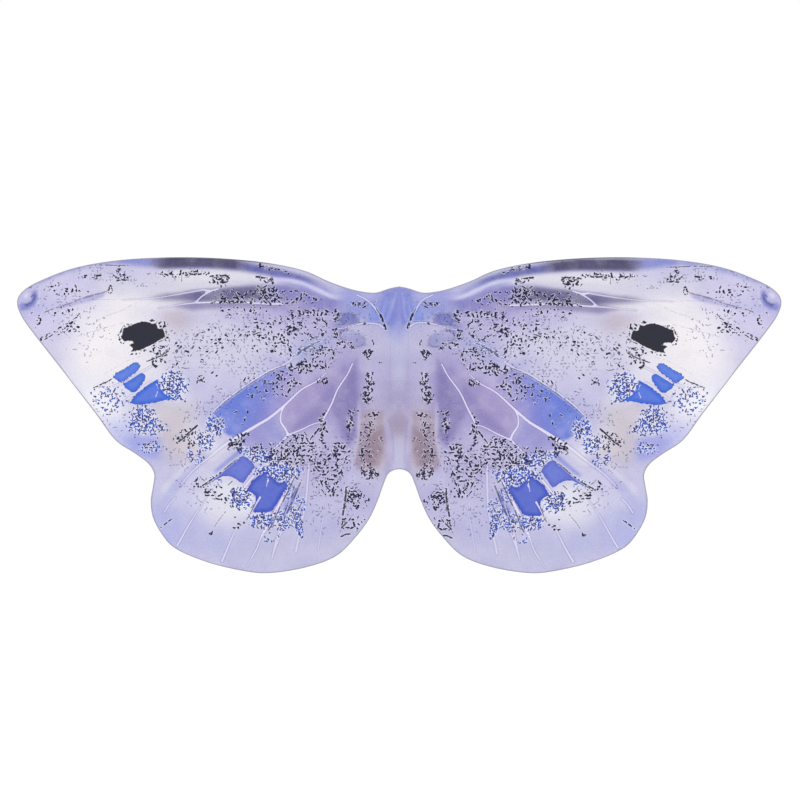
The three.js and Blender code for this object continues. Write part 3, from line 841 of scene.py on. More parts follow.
def makeCloth(word, side):
    flatPoints, flatFaces = halfCloth(side)
    printPoints = printPointFor(flatPoints, side)
    count = len(flatPoints)
    middle = clothPlace(flatPoints[:, 0], flatPoints[:, 1], side)
    half = np.array([0, cut["thickness"] / 2 * mm, 0])
    verts = np.vstack([middle - half, middle + half])
    front = flatFaces if side > 0 else flatFaces[:, ::-1]
    back = front[:, ::-1] + count
    rim = rimEdges(front)
    walls = [(a, a + count, b + count, b) for a, b in rim]
    faces = [tuple(f) for f in front] + [tuple(f) for f in back] + walls
    obj = newMesh(word + "_wing_cloth", verts, faces)
    mesh = obj.data
    index = np.zeros(len(faces), np.int32)
    index[len(front):] = 1
    mesh.polygons.foreach_set("material_index", index)
    rounded = np.ones(len(faces), bool)
    rounded[len(front) + len(back):] = False
    mesh.polygons.foreach_set("use_smooth", rounded)
    # the cut edge is crisp, so that it doesn't shade the cloth beside it
    crisp = {tuple(sorted(pair)) for pair in rim.tolist()}
    crisp |= {(a + count, b + count) for a, b in crisp}
    mesh.attributes.new("sharp_edge", "BOOLEAN", "EDGE").data.foreach_set(
        "value", [tuple(sorted(e.vertices)) in crisp for e in mesh.edges])
    place = np.c_[printPoints, np.zeros(count)]
    storePlace(mesh, "printPlace", np.vstack([place, place]))
    for name, values in drawPrint(printPoints).items():
        storeField(mesh, name, np.concatenate([values, values]))
    # an unwrap of its own, so that a baked map gives the printed face most of its room
    layer = mesh.uv_layers.new(name="OFBake")
    shown = np.array([c for f in faces for c in f])
    onBack = np.repeat(index, [len(f) for f in faces]) > 0
    u, v = flatPoints[shown % count, 0], flatPoints[shown % count, 1] + unwrap["below"]
    scale = np.where(onBack, unwrap["back"], unwrap["front"])
    lift = np.where(onBack, unwrap["margin"], unwrap["split"])
    nudge = np.where(shown >= count, unwrap["nudge"], 0.0)
    uv = np.stack([unwrap["margin"] + u * scale + nudge, lift + v * scale + nudge], 1)
    layer.uv.foreach_set("vector", uv.astype(np.float32).ravel())
    return obj


# materials
class Sock:
    # wraps a node socket, so that shader maths reads as sums
    def __init__(self, paint, socket):
        self.paint, self.socket = paint, socket

    def maths(self, operation, other=None, flip=False):
        first, second = (other, self) if flip else (self, other)
        values = {0: first} if other is None else {0: first, 1: second}
        return self.paint.node("ShaderNodeMath", dict(operation=operation), values)

    def __add__(self, other):
        return self.maths("ADD", other)

    def __radd__(self, other):
        return self.maths("ADD", other, True)

    def __sub__(self, other):
        return self.maths("SUBTRACT", other)

    def __rsub__(self, other):
        return self.maths("SUBTRACT", other, True)

    def __mul__(self, other):
        return self.maths("MULTIPLY", other)

    def __rmul__(self, other):
        return self.maths("MULTIPLY", other, True)

    def __truediv__(self, other):
        return self.maths("DIVIDE", other)

    def __rtruediv__(self, other):
        return self.maths("DIVIDE", other, True)

    def sine(self):
        return self.maths("SINE")

    def cosine(self):
        return self.maths("COSINE")

    def most(self, other):
        return self.maths("MAXIMUM", other)

    def over(self, low, high):
        # 0 below low, 1 above high, eased between
        return self.paint.node("ShaderNodeMapRange", dict(interpolation_type="SMOOTHSTEP"),
                               {0: self, 1: low, 2: high, 3: 0.0, 4: 1.0})

    def vector(self, operation, other):
        return self.paint.node("ShaderNodeVectorMath", dict(operation=operation), {0: self, 1: other})

    def parts(self):
        # the x, y and z of a vector
        split = self.paint.node("ShaderNodeSeparateXYZ", None, {0: self})
        return [self.paint.output(split, name) for name in "XYZ"]


class Paint:
    # one material and the nodes that make it
    def __init__(self, name):
        self.material = bpy.data.materials.new(name)
        self.material.use_nodes = True
        self.tree = self.material.node_tree
        self.tree.nodes.clear()

    def node(self, kind, settings=None, values=None, output=0):
        made = self.tree.nodes.new(kind)
        for key, value in (settings or {}).items():
            setattr(made, key, value)
        for key, value in (values or {}).items():
            if isinstance(value, Sock):
                self.tree.links.new(value.socket, made.inputs[key])
            else:
                made.inputs[key].default_value = value
        return Sock(self, made.outputs[output])

    def output(self, made, name):
        # another output of a node that is already there
        return Sock(self, made.socket.node.outputs[name])

    # a stored number, colour or place
    def field(self, name):
        return self.node("ShaderNodeAttribute", dict(attribute_name=name), output="Fac")

    def colourField(self, name):
        return self.node("ShaderNodeAttribute", dict(attribute_name=name), output="Color")

    def place(self, name):
        return self.node("ShaderNodeAttribute", dict(attribute_name=name), output="Vector")

    def mix(self, share, a, b):
        a, b = [v if isinstance(v, Sock) else (*v, 1) for v in (a, b)]
        return self.node("ShaderNodeMix", dict(data_type="RGBA"), {0: share, 6: a, 7: b}, output=2)

    def noise(self, place, size, detail=2.0, rough=0.5, output=0):
        values = {"Vector": place, "Scale": 1 / size, "Detail": detail, "Roughness": rough}
        return self.node("ShaderNodeTexNoise", None, values, output)

    def bump(self, height, strength, depth):
        # depth is how deep a height of 1 would be, in mm
        values = {"Height": height, "Strength": strength, "Distance": depth * mm}
        return self.node("ShaderNodeBump", None, values)

    def finish(self, **inputs):
        shader = self.tree.nodes.new("ShaderNodeBsdfPrincipled")
        for key, value in inputs.items():
            socket = shader.inputs[key.replace("_", " ")]
            if isinstance(value, Sock):
                self.tree.links.new(value.socket, socket)
            else:
                socket.default_value = value
        out = self.tree.nodes.new("ShaderNodeOutputMaterial")
        self.tree.links.new(shader.outputs[0], out.inputs[0])
        return self.material


# colours and stroke sizes of the print; the rest are strengths of what is laid over it
printLook = dict(
    cloudSize=34.0, cloudPale="#efecfb", cloudDeep="#8f88c6", cloud=0.16,
    grainSize=2.4, grainDeep="#8683bd", grainPale="#f4f2fd", grain=0.16,
    wanderSize=4.5, wander=5.0,      # how far a stroke strays from a clean oval
    vein="#ebe6fb", veinShare=0.88, veinSide="#6660ac",
    ink="#120a3c", inkHalo="#f1effb", faintInk="#403c74",
    blueInk="#2b50b8", navyInk="#26297a", blueHalo="#f3f5ff",
    patchPale="#8c9be6", patchDeep="#3b4fb0", patchEdge="#2f4290",
    spot="#32333f", spotHalo="#f4f1f4",
    boldCell=6.2, boldLength=3.3, boldWidth=1.6,
    smallCell=4.2, smallLength=1.9, smallWidth=1.25,
    laceCell=3.5, laceLength=2.1, laceWidth=1.15,
    weave=0.75,
    bleed=0.55, unprinted="#d9d8ee",     # the reverse shows the print weakly
    dye=0.88,        # how much of the light the whitest cloth gives back
)


def clothMaterial(name, reverse=False):
    p = Paint(name)
    look = printLook
    place = p.place("printPlace")
    colour = p.colourField("ground")

    # uneven dye, coarse and fine
    cloud = p.noise(place, look["cloudSize"], 3.0)
    colour = p.mix(cloud.over(0.42, 0.75) * look["cloud"], colour, tint(look["cloudPale"]))
    colour = p.mix((1 - cloud).over(0.5, 0.8) * look["cloud"], colour, tint(look["cloudDeep"]))
    grain = p.noise(place, look["grainSize"], 2.0, 0.6)
    colour = p.mix(grain.over(0.42, 0.78) * look["grain"], colour, tint(look["grainDeep"]))
    colour = p.mix((1 - grain).over(0.45, 0.8) * (0.75 * look["grain"]), colour, tint(look["grainPale"]))

    # a wandering of the print, so that no mark is a clean oval
    wander = p.noise(place, look["wanderSize"], output="Color").vector("SUBTRACT", (0.5, 0.5, 0.5))
    wander = wander.vector("MULTIPLY", (look["wander"], look["wander"], 0.0))
    strayed = place.vector("ADD", wander)

    def dashes(thick, cell, halfLength, halfWidth, shift):
        # short strokes, one to a cell, each lying its own way; returns the ink and a halo round it
        moved = strayed.vector("ADD", (shift, shift * 0.7, 0))
        cells = p.node("ShaderNodeTexVoronoi", dict(feature="F1", voronoi_dimensions="2D"),
                       {"Vector": moved, "Scale": 1 / cell})
        dx, dz, _ = moved.vector("SUBTRACT", p.output(cells, "Position")).parts()
        turn, kept, long = p.output(cells, "Color").parts()
        angle = turn * math.pi
        along = dx * angle.cosine() + dz * angle.sine()
        across = dz * angle.cosine() - dx * angle.sine()
        along = along / (long * (1.1 * halfLength) + 0.45 * halfLength)
        across = across / halfWidth
        reach = along * along + across * across
        there = (thick * 1.08 - kept).over(0.0, 0.03)
        return (1 - reach.over(0.85, 1.15)) * there, (1 - reach.over(1.2, 3.6)) * there

    # pale veins with a darker line along each side
    ragged = (p.noise(place, 2.6, 3.0, 0.6) - 0.5) * 1.3
    veinDepth = p.field("vein") + ragged
    glow = p.field("veinGlow")
    colour = p.mix(veinDepth.over(-2.2, -0.5) * glow * 0.34, colour, tint(look["veinSide"]))
    vein = veinDepth.over(-0.45, 0.45) * glow
    colour = p.mix(vein * look["veinShare"], colour, tint(look["vein"]))

    # blue zones: a pale ground with strokes that close up into solid colour
    blueThick = p.field("blueMark")
    blueInk, blueHalo = dashes(blueThick, look["laceCell"], look["laceLength"], look["laceWidth"], 31.0)
    blueBold, boldHalo = dashes(blueThick * 0.7, look["laceCell"] * 1.5, look["laceLength"] * 1.5,
                                look["laceWidth"] * 1.1, 57.0)
    blueMarks = blueInk.most(blueBold)
    paleBlue = blueThick.over(0.1, 0.8) * 0.30 + blueHalo.most(boldHalo) * 0.55
    colour = p.mix(paleBlue * (1 - vein), colour, tint(look["blueHalo"]))
    deep = p.noise(place, 13.0).over(0.42, 0.6)
    colour = p.mix(blueMarks * 0.96, colour, p.mix(deep, tint(look["blueInk"]), tint(look["navyInk"])))

    # blue patches: frayed into the strokes round them, darker towards their edges
    fray = (p.noise(place, 3.6, 4.0, 0.7) - 0.5) * 7.5 + blueMarks * 2.0 - blueHalo * 0.8
    depth = p.field("patch") + fray
    inPatch = depth.over(-0.3, 0.4) * (1 - vein * 0.9)
    tone = p.mix(depth.over(1.5, 9.0) * 0.30, p.colourField("patchTone"), tint(look["patchPale"]))
    tone = p.mix(p.noise(place, 7.0, 3.0).over(0.45, 0.75) * 0.22, tone, tint(look["patchDeep"]))
    tone = p.mix((1 - depth.over(0.7, 1.8)) * 0.6, tone, tint(look["patchEdge"]))
    colour = p.mix(inPatch, colour, tone)

    # dark strokes, bold and small
    darkThick = p.field("darkMark")
    bold, boldEdge = dashes(darkThick, look["boldCell"], look["boldLength"], look["boldWidth"], 7.0)
    small, smallEdge = dashes(darkThick * 0.85, look["smallCell"], look["smallLength"],
                              look["smallWidth"], 19.0)
    colour = p.mix(boldEdge.most(smallEdge) * 0.5 * (1 - inPatch), colour, tint(look["inkHalo"]))
    ink = p.mix(blueThick.over(0.15, 0.5) * 0.8, tint(look["ink"]), tint(look["navyInk"]))
    colour = p.mix(bold.most(small) * 0.97, colour, ink)

    # faint thin strokes of the open fields
    faintThick = p.field("faintMark")
    faint, _ = dashes(faintThick, look["smallCell"] * 1.15, look["smallLength"] * 1.2,
                      look["smallWidth"] * 0.6, 43.0)
    colour = p.mix(faint * 0.62, colour, tint(look["faintInk"]))

    # thin pen lines, uneven and broken here and there
    breaks = p.noise(place, 4.5, 1.0).over(0.52, 0.68)
    penDepth = p.field("pen") + (p.noise(place, 2.4) - 0.5) * 1.2 - breaks * 2.0
    pen = penDepth.over(-0.3, 0.35) * p.field("penDark")
    colour = p.mix(penDepth.over(-2.0, -0.5) * p.field("penDark") * 0.4, colour, tint(look["inkHalo"]))
    colour = p.mix(pen * 0.97, colour, ink)

    # the black spot, ragged, with a thin pale halo
    spotDepth = p.field("spot") + (p.noise(place, 3.2, 4.0, 0.75) - 0.5) * 5.2
    colour = p.mix(spotDepth.over(-2.2, -0.9) * 0.6, colour, tint(look["spotHalo"]))
    colour = p.mix(spotDepth.over(-0.3, 0.3), colour, tint(look["spot"]))

    if reverse:
        colour = p.mix(look["bleed"], colour, tint(look["unprinted"]))
    colour = colour.vector("MULTIPLY", (look["dye"],) * 3)

    # plain weave in the surface
    x, z, _ = place.parts()
    turn = 2 * math.pi / look["weave"]
    weave = (x * turn).sine() * (z * turn).sine()
    height = weave * 0.5 + grain * 0.6
    bump = p.bump(height, 0.12, 0.2)
    return p.finish(Base_Color=colour, Roughness=0.78 + grain * 0.14, Normal=bump, Sheen_Weight=0.03,
                    Sheen_Roughness=0.5, Specular_IOR_Level=0.12)


clothFront = clothMaterial("printed cloth")
clothBack = clothMaterial("printed cloth reverse", reverse=True)


hemLook = dict(
    radius=0.85, sides=10, step=0.7, ridge=0.09, pitch=2.2, thread=1.2,
    pale="#a9a9c4", dark="#444356", lit="#c9c8e0", fibre="#6d6b86",
)


def hemMaterial():
    p = Paint("hem thread")
    along = p.field("alongHem")
    dark = p.field("hemDark")
    base = p.mix(dark, tint(hemLook["pale"]), tint(hemLook["dark"]))
    thread = (along * (2 * math.pi / hemLook["thread"])).sine()
    fibre = p.noise(p.place("printPlace"), 1.4, 3.0, 0.7)
    colour = p.mix(thread.over(-0.2, 1.0) * 0.35, base, tint(hemLook["lit"]))
    colour = p.mix(fibre.over(0.4, 0.8) * 0.3, colour, tint(hemLook["fibre"]))
    bump = p.bump(thread * 0.6 + fibre, 0.5, 0.2)
    return p.finish(Base_Color=colour, Roughness=0.62 + fibre * 0.2, Normal=bump, Sheen_Weight=0.2)


hemThread = hemMaterial()


def makeHem(word, side):
    # the edge is rolled and oversewn: a roll with slanting ridges of thread
    line = resample(halfEdge, hemLook["step"])
    line[0, 0] = line[-1, 0] = 0
    along = lengthAlong(line)
    ahead = np.gradient(line, axis=0)
    ahead /= np.linalg.norm(ahead, axis=1)[:, None]
    ahead[0], ahead[-1] = (1, 0), (-1, 0)
    outward = np.stack([-ahead[:, 1], ahead[:, 0]], 1)
    lift = cut["clothY"] + clothLift(line[:, 0], line[:, 1])
    turns = np.linspace(0, 2 * math.pi, hemLook["sides"], endpoint=False)
    rings = []
    for a in turns:
        ridges = np.cos(2 * math.pi * along / hemLook["pitch"] + a)
        radius = hemLook["radius"] * (1 + hemLook["ridge"] * ridges)
        x = line[:, 0] + outward[:, 0] * radius * math.cos(a)
        z = line[:, 1] + outward[:, 1] * radius * math.cos(a)
        x[[0, -1]] = 0
        rings.append(np.stack([side * x, lift + radius * math.sin(a), z], 1))
    verts = np.stack(rings, 1).reshape(-1, 3) * mm
    n, k = len(line), hemLook["sides"]
    faces = []
    for i in range(n - 1):
        for j in range(k):
            a, b = i * k + j, i * k + (j + 1) % k
            quad = (a, b, b + k, a + k)
            faces.append(quad if side > 0 else quad[::-1])
    caps = [tuple(range(k))[::-1], tuple((n - 1) * k + j for j in range(k))]
    faces += caps if side > 0 else [c[::-1] for c in caps]
    obj = newMesh(word + "_hem", verts, faces)
    mesh = obj.data

    def each(values):
        return np.repeat(values, k)

    storeField(mesh, "alongHem", each(along))
    topDark = smooth(385, 350, line[:, 0]) * smooth(175, 235, line[:, 0]) * (line[:, 1] > 120)
    storeField(mesh, "hemDark", each(0.25 + 0.7 * topDark))
    storePlace(mesh, "printPlace", np.c_[each(line[:, 0]), each(line[:, 1]), np.tile(turns, n)])
    mesh.materials.append(hemThread)
    return obj


for word, side in (("left", -1), ("right", 1)):
    cloth = makeCloth(word, side)
    cloth.data.materials.append(clothFront)
    cloth.data.materials.append(clothBack)
    hem = makeHem(word, side)
    for piece in (cloth, hem):
        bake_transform(piece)
    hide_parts(word + "_wing_panel", "body_panel")
    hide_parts(word + "_wing_hem", "neck_hem", "tail_hem")
print("cloth and hems made")


# a band of elastic or tape that follows a line: its cross-section is carried along the line
def sweepBand(name, centre, across, out, section):
    # centre, across and out hold one row for each ring; section holds (across, out) offsets in mm
    count, sides = len(centre), len(section)
    rings = [centre + across * a + out * o for a, o in section]
    verts = np.stack(rings, 1).reshape(-1, 3) * mm
    faces = []
    for i in range(count - 1):
        for j in range(sides):
            a, b = i * sides + j, i * sides + (j + 1) % sides
            faces.append((a, b, b + sides, a + sides))
    faces.append(tuple(range(sides))[::-1])
    faces.append(tuple((count - 1) * sides + j for j in range(sides)))
    obj = newMesh(name, verts, faces)
    # an outward surface has a positive volume
    fans = [(f[0], f[i], f[i + 1]) for f in faces for i in range(1, len(f) - 1)]
    if sum(np.dot(verts[a], np.cross(verts[b], verts[c])) for a, b, c in fans) < 0:
        obj.data.flip_normals()
    return obj


def elasticSection(band):
    # a flat band whose two faces are ribbed lengthwise, with rounded selvedges
    width, thick, ribDepth = band["width"], band["thick"], band["ribDepth"]
    steps = band["ribs"] * 4
    half = width / 2 - thick * 0.4
    top = []
    for i in range(steps + 1):
        u = -half + 2 * half * i / steps
        rib = ribDepth * 0.5 * (1 - math.cos(2 * math.pi * i / 4)) - ribDepth * 0.5
        top.append((u, thick / 2 + rib))
    shoulder = width / 2 - thick * 0.12
    edge = [(shoulder, thick * 0.28), (width / 2, 0), (shoulder, -thick * 0.28)]
    bottom = [(u, -o) for u, o in reversed(top)]
    other = [(-u, -o) for u, o in edge]
    return top + edge + bottom + other


def bandFields(obj, length, section):
    # how far along and how far across each point of a band lies
    along = np.repeat(length, len(section))
    across = np.tile([a for a, _ in section], len(length))
    storePlace(obj.data, "bandPlace", np.c_[along, across, np.zeros(len(along))])


elasticLook = dict(between="#cfccc8", rung="#c7c4c2", fibre="#b9b6b6", wear="#d6cfc2", rungPitch=1.1)


def elasticMaterial(name, band):
    # knitted elastic: cords of rubber under white thread, crossed by fine stitches
    p = Paint(name)
    place = p.place("bandPlace")
    along, across, _ = place.parts()
    look = elasticLook
    rib = (across * (2 * math.pi * band["ribs"] / band["width"])).cosine()
    rung = (along * (2 * math.pi / look["rungPitch"]) + rib * 0.8).sine()
    fibre = p.noise(place, 0.9, 3.0, 0.7)
    wear = p.noise(place, 26.0, 3.0)
    colour = p.mix(rib.over(-1.0, 0.6), tint(look["between"]), tint(band["colour"]))
    colour = p.mix(rung.over(0.0, 1.0) * 0.22, colour, tint(look["rung"]))
    colour = p.mix(fibre.over(0.5, 0.85) * 0.2, colour, tint(look["fibre"]))
    colour = p.mix(wear.over(0.5, 0.8) * 0.12, colour, tint(look["wear"]))
    height = rung * 0.5 + fibre * 0.7 + rib * 0.3
    bump = p.bump(height, 0.45, 0.25)
    return p.finish(Base_Color=colour, Roughness=0.7 + fibre * 0.2, Normal=bump, Sheen_Weight=0.25,
                    Sheen_Roughness=0.4, Specular_IOR_Level=0.3)


def directions(line):
    # unit directions along a line of 3-D points
    ahead = np.gradient(line, axis=0)
    return ahead / np.linalg.norm(ahead, axis=1)[:, None]


# shoulder straps: each is one elastic from the tape's top pocket, round the arm, to its bottom pocket
strap = dict(
    width=14.0, thick=1.1, ribs=8, ribDepth=0.22, colour="#f6f4f0",
    splay=20.0,
    wave=0.5,
    blendFrom=1.5, blendTo=12.0,
    # forward of the swing line, and z
    tail=[(-6.55, 52), (-6.55, 60), (-6.5, 70.5), (-4.6, 77.5), (-1.3, 83), (0, 87.5)],
    loop=[(0.6, 94), (5, 101.5), (16, 106), (35, 100), (56, 79), (70, 42), (77, -4), (79, -45), (72, -80),
          (53, -102), (28, -108), (9, -103), (1.5, -95)],
)
strapMaterial = elasticMaterial("strap elastic", strap)


def makeStrap(word, side):
    route = strap["tail"] + strap["loop"] + [(f, -z) for f, z in reversed(strap["tail"])]
    line = splineThrough(route, 2.0)
    forward, z = line[:, 0], line[:, 1]
    length = lengthAlong(line)
    angle = np.radians(strap["splay"]) * smooth(-4.0, 3.0, forward)
    sway = strap["wave"] * np.sin(length / 37.0) * smooth(0, 20, forward)
    toward = np.stack([side * np.sin(angle), np.cos(angle), np.zeros(len(line))], 1)
    across = np.stack([np.cos(angle), -side * np.sin(angle), np.zeros(len(line))], 1)
    centre = np.array([side * strapX, strapY, 0])
    centre = centre + toward * forward[:, None] + across * sway[:, None]
    centre[:, 2] = z
    out = np.cross(directions(centre), across)
    out /= np.linalg.norm(out, axis=1)[:, None]
    section = elasticSection(strap)
    obj = sweepBand(word + "_strap_elastic", centre, across, out, section)
    bandFields(obj, length, section)
    obj.data.materials.append(strapMaterial)
    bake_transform(obj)
    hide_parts(word + "_strap", word + "_strap_top_tail", word + "_strap_bottom_tail")


# finger loops: a narrow elastic folded in half, its two ends under the tip patch
fingerLoop = dict(
    width=6.0, thick=0.9, ribs=5, ribDepth=0.16, colour="#f7f5f2",
    blendFrom=91.5, blendTo=87.2,    # heights
    # out from the hinge line, and z below it
    route=[(-0.5, 11.5), (-0.5, 5), (-0.45, 0), (-0.4, -5), (2.5, -12), (8, -19), (11, -27), (8, -34),
           (3, -35.5), (-1, -31), (-1.65, -24), (-1.65, -12), (-1.65, 0), (-1.6, 5), (-1.6, 11.5)],
)
loopMaterial = elasticMaterial("loop elastic", fingerLoop)


def makeFingerLoop(word, side):
    line = splineThrough(fingerLoop["route"], 0.9)
    length = lengthAlong(line)
    centre = np.c_[np.full(len(line), side * loopX), loopY + line[:, 0], loopZ + line[:, 1]]
    across = np.tile([1.0, 0, 0], (len(line), 1))
    out = np.cross(directions(centre), across)
    section = elasticSection(fingerLoop)
    obj = sweepBand(word + "_finger_loop_elastic", centre, across, out, section)
    bandFields(obj, length, section)
    obj.data.materials.append(loopMaterial)
    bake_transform(obj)
    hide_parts(word + "_finger_loop", word + "_loop_tail")


for word, side in (("left", -1), ("right", 1)):
    makeStrap(word, side)
    makeFingerLoop(word, side)
print("straps and finger loops made")


# cotton tape and patches, in the lilac of the reverse
tapeLook = dict(shade="#c4c2de", pale="#e3e1f3", fibre="#b3b0d0", wear="#efedf6", rows=4.0, twill=1.3)


def tapeMaterial():
    p = Paint("tape cloth")
    place = p.place("bandPlace")
    x, z, _ = place.parts()
    # herringbone: the twill changes direction every few millimetres
    rows = ((x + 500) / tapeLook["rows"]).maths("PINGPONG", 1.0)
    twill = (z * (2 * math.pi / tapeLook["twill"]) + rows * (2 * math.pi * 1.6)).sine()
    fibre = p.noise(place, 0.8, 3.0, 0.7)
    wear = p.noise(place, 18.0, 3.0)
    colour = p.mix(twill.over(-0.6, 0.9), tint(tapeLook["shade"]), tint(tapeLook["pale"]))
    colour = p.mix(fibre.over(0.45, 0.8) * 0.25, colour, tint(tapeLook["fibre"]))
    colour = p.mix(wear.over(0.5, 0.75) * 0.15, colour, tint(tapeLook["wear"]))
    bump = p.bump(twill * 0.6 + fibre * 0.6, 0.4, 0.3)
    return p.finish(Base_Color=colour, Roughness=0.82 + fibre * 0.12, Normal=bump, Sheen_Weight=0.2,
                    Specular_IOR_Level=0.2)


def threadMaterialFor(name, colour, shade):
    p = Paint(name)
    at = p.place("bandPlace")
    strand = p.noise(at, 0.5, 2.0, 0.6)
    tone = p.mix(strand.over(0.35, 0.7), tint(colour), tint(shade))
    bump = p.bump(strand, 0.4, 0.1)
    return p.finish(Base_Color=tone, Roughness=0.5 + strand * 0.25, Normal=bump, Sheen_Weight=0.2)


tapeCloth = tapeMaterial()
sewingThread = threadMaterialFor("sewing thread", "#8f8cb8", "#b5b2d6")
paleThread = threadMaterialFor("pale sewing thread", "#a5a1c8", "#b6b3d6")


backTape = dict(
    width=tapeHigh[0] - tapeLow[0], length=tapeHigh[2] - tapeLow[2],
    under=-2.55, edge=1.3,
    face=-0.35,          # height of its outer face
    columns=64, rows=141,
    channel=6.5,         # half width of a strap's channel
    swell=0.35,          # how far the tape stands up over a strap
    pocket=20.0,
    seamIn=2.2,          # of the long seams, from the tape's sides
)


def tapeFace(x, z):
    # height of the tape's outer face, dished between the straps and along its seams
    t = backTape
    over = np.exp(-((np.abs(x) - strapX) / t["channel"]) ** 4)
    pocketEnd = t["length"] / 2 - t["pocket"]
    over = over * smooth(pocketEnd - 7, pocketEnd + 3, np.abs(z))
    fromSide = t["width"] / 2 - np.abs(x)
    side = smooth(0, t["edge"], fromSide)
    seam = np.exp(-((fromSide - t["seamIn"]) / 0.7) ** 2)
    return t["face"] + t["swell"] * over - 0.75 * (1 - side) ** 1.5 - 0.22 * seam


def makeTape():
    t = backTape
    half = t["width"] / 2
    xs = np.concatenate([[-half], np.linspace(-half + 0.3, half - 0.3, t["columns"]), [half]])
    zs = np.linspace(-t["length"] / 2, t["length"] / 2, t["rows"])
    gx, gz = np.meshgrid(xs, zs)
    outer = tapeFace(gx, gz)
    # the tape is a folded strip of even thickness, down on the cloth at its sides
    thick = 0.85 * smooth(-0.2, 1.2, half - np.abs(gx)) + 0.25
    inner = np.maximum(outer - thick, t["under"])
    inner = np.where(np.abs(gx) > half - 2.0, t["under"] + 0.05, inner)
    wide, tall = len(xs), len(zs)
    verts = np.vstack([np.stack([gx, y, gz], 2).reshape(-1, 3) for y in (outer, inner)]) * mm
    shift = wide * tall
    faces = []
    for i in range(tall - 1):
        for j in range(wide - 1):
            a = i * wide + j
            faces.append((a, a + wide, a + wide + 1, a + 1))
            faces.append((a + shift, a + shift + 1, a + shift + wide + 1, a + shift + wide))
    ring = list(range(wide)) + [i * wide + wide - 1 for i in range(1, tall)]
    ring += [(tall - 1) * wide + j for j in range(wide - 2, -1, -1)]
    ring += [i * wide for i in range(tall - 2, 0, -1)]
    for a, b in zip(ring, ring[1:] + ring[:1]):
        faces.append((a, b, b + shift, a + shift))
    obj = newMesh("back_tape_cloth", verts, faces)
    flat = np.stack([gx, gz, np.zeros_like(gx)], 2).reshape(-1, 3)
    storePlace(obj.data, "bandPlace", np.vstack([flat, flat]))
    obj.data.materials.append(tapeCloth)
    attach(obj, "back")
    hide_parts("back_tape")
    t["width"] * mm
    t["length"] * mm


stitch = dict(
    length=2.7, gap=0.9, radius=0.26, sides=6, sink=0.1,
    # share of the length, of the radius, and lift in radii
    profile=[(0.0, 0.35, -1.0), (0.1, 0.85, -0.25), (0.3, 1.0, 0.25), (0.5, 1.0, 0.4), (0.7, 1.0, 0.25),
             (0.9, 0.85, -0.25), (1.0, 0.35, -1.0)],
)


def stitchesAlong(points):
    # capsule stitches, end to end, along a line of 3-D points; returns their start and end places
    line = resample(points, 0.3)
    along = lengthAlong(line)
    pitch = stitch["length"] + stitch["gap"]
    count = max(1, int(along[-1] / pitch))
    pitch = along[-1] / count
    starts = np.arange(count) * pitch + stitch["gap"] / 2
    ends = starts + pitch - stitch["gap"]

    def placeAt(walk):
        return np.stack([np.interp(walk, along, line[:, k]) for k in range(3)], 1)

    return list(zip(placeAt(starts), placeAt(ends)))


def stitchMesh(name, pairs, out=(0, 1, 0), radius=None, thread=None):
    # each stitch is a thread that comes up, lies along the cloth and goes down again
    radius = radius or stitch["radius"]
    out = np.array(out, float)
    sides, profile = stitch["sides"], stitch["profile"]
    verts, faces, flat = [], [], []
    walked = 0.0
    for a, b in pairs:
        d = b - a
        length = np.linalg.norm(d)
        d = d / length
        over = np.cross(d, out)
        over /= np.linalg.norm(over)
        up = np.cross(over, d)
        first = len(verts)
        for share, size, lift in profile:
            centre = a + d * length * share + up * radius * lift
            for k in range(sides):
                t = 2 * math.pi * k / sides
                verts.append(centre + (over * math.cos(t) + up * math.sin(t)) * radius * size)
                flat.append((walked + length * share, t, 0))
        walked += length + 3
        for i in range(len(profile) - 1):
            for k in range(sides):
                p0, p1 = first + i * sides + k, first + i * sides + (k + 1) % sides
                faces.append((p0, p1, p1 + sides, p0 + sides))
        faces.append(tuple(first + k for k in range(sides))[::-1])
        faces.append(tuple(first + (len(profile) - 1) * sides + k for k in range(sides)))
    obj = newMesh(name, np.array(verts) * mm, faces)
    storePlace(obj.data, "bandPlace", flat)
    obj.data.materials.append(thread or sewingThread)
    return obj


def onTape(points):
    points = np.array(points, float)
    fine = resample(points, 0.6)
    return np.c_[fine[:, 0], tapeFace(fine[:, 0], fine[:, 1]) + stitch["sink"], fine[:, 1]]


def makeTapeStitches():
    t = backTape
    pairs = []
    half, high = t["width"] / 2 - t["seamIn"], t["length"] / 2
    for side in (-1, 1):
        pairs += stitchesAlong(onTape([(side * half, -high + 2), (side * half, high - 2)]))
    for side in (-1, 1):
        for end in (-1, 1):
            x0, x1 = side * strapX - 5.2, side * strapX + 5.2
            z0, z1 = end * (high - 3.0), end * (high - 17.5)
            box = [(x0, z0), (x1, z0), (x1, z1), (x0, z1), (x0, z0)]
            for a, b in zip(box, box[1:]):
                pairs += stitchesAlong(onTape([a, b]))
            pairs += stitchesAlong(onTape([(x0, z0), (x1, z1)]))
            pairs += stitchesAlong(onTape([(x1, z0), (x0, z1)]))
    obj = stitchMesh("back_tape_stitches", pairs)
    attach(obj, "back")
    # the same seams come through to the printed side
    through = []
    for side in (-1, 1):
        line = resample(np.array([(side * half, -high + 2), (side * half, high - 2)], float), 1.0)
        y = cut["clothY"] + clothLift(line[:, 0], line[:, 1]) - cut["thickness"] / 2 - stitch["sink"]
        through += stitchesAlong(np.c_[line[:, 0], y, line[:, 1]])
    front = stitchMesh("body_seam_stitches", through, out=(0, -1, 0), radius=0.16, thread=paleThread)
    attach(front, "back")


tipPatch = dict(
    radius=(patchHigh[0] - patchLow[0]) / 2,
    top=0.95, under=-2.5, dome=0.45,
    seam=9.6, zigzags=28, zigzag=0.9,    # the zigzag runs this far to each side of the seam
    rings=20, spokes=72,
)


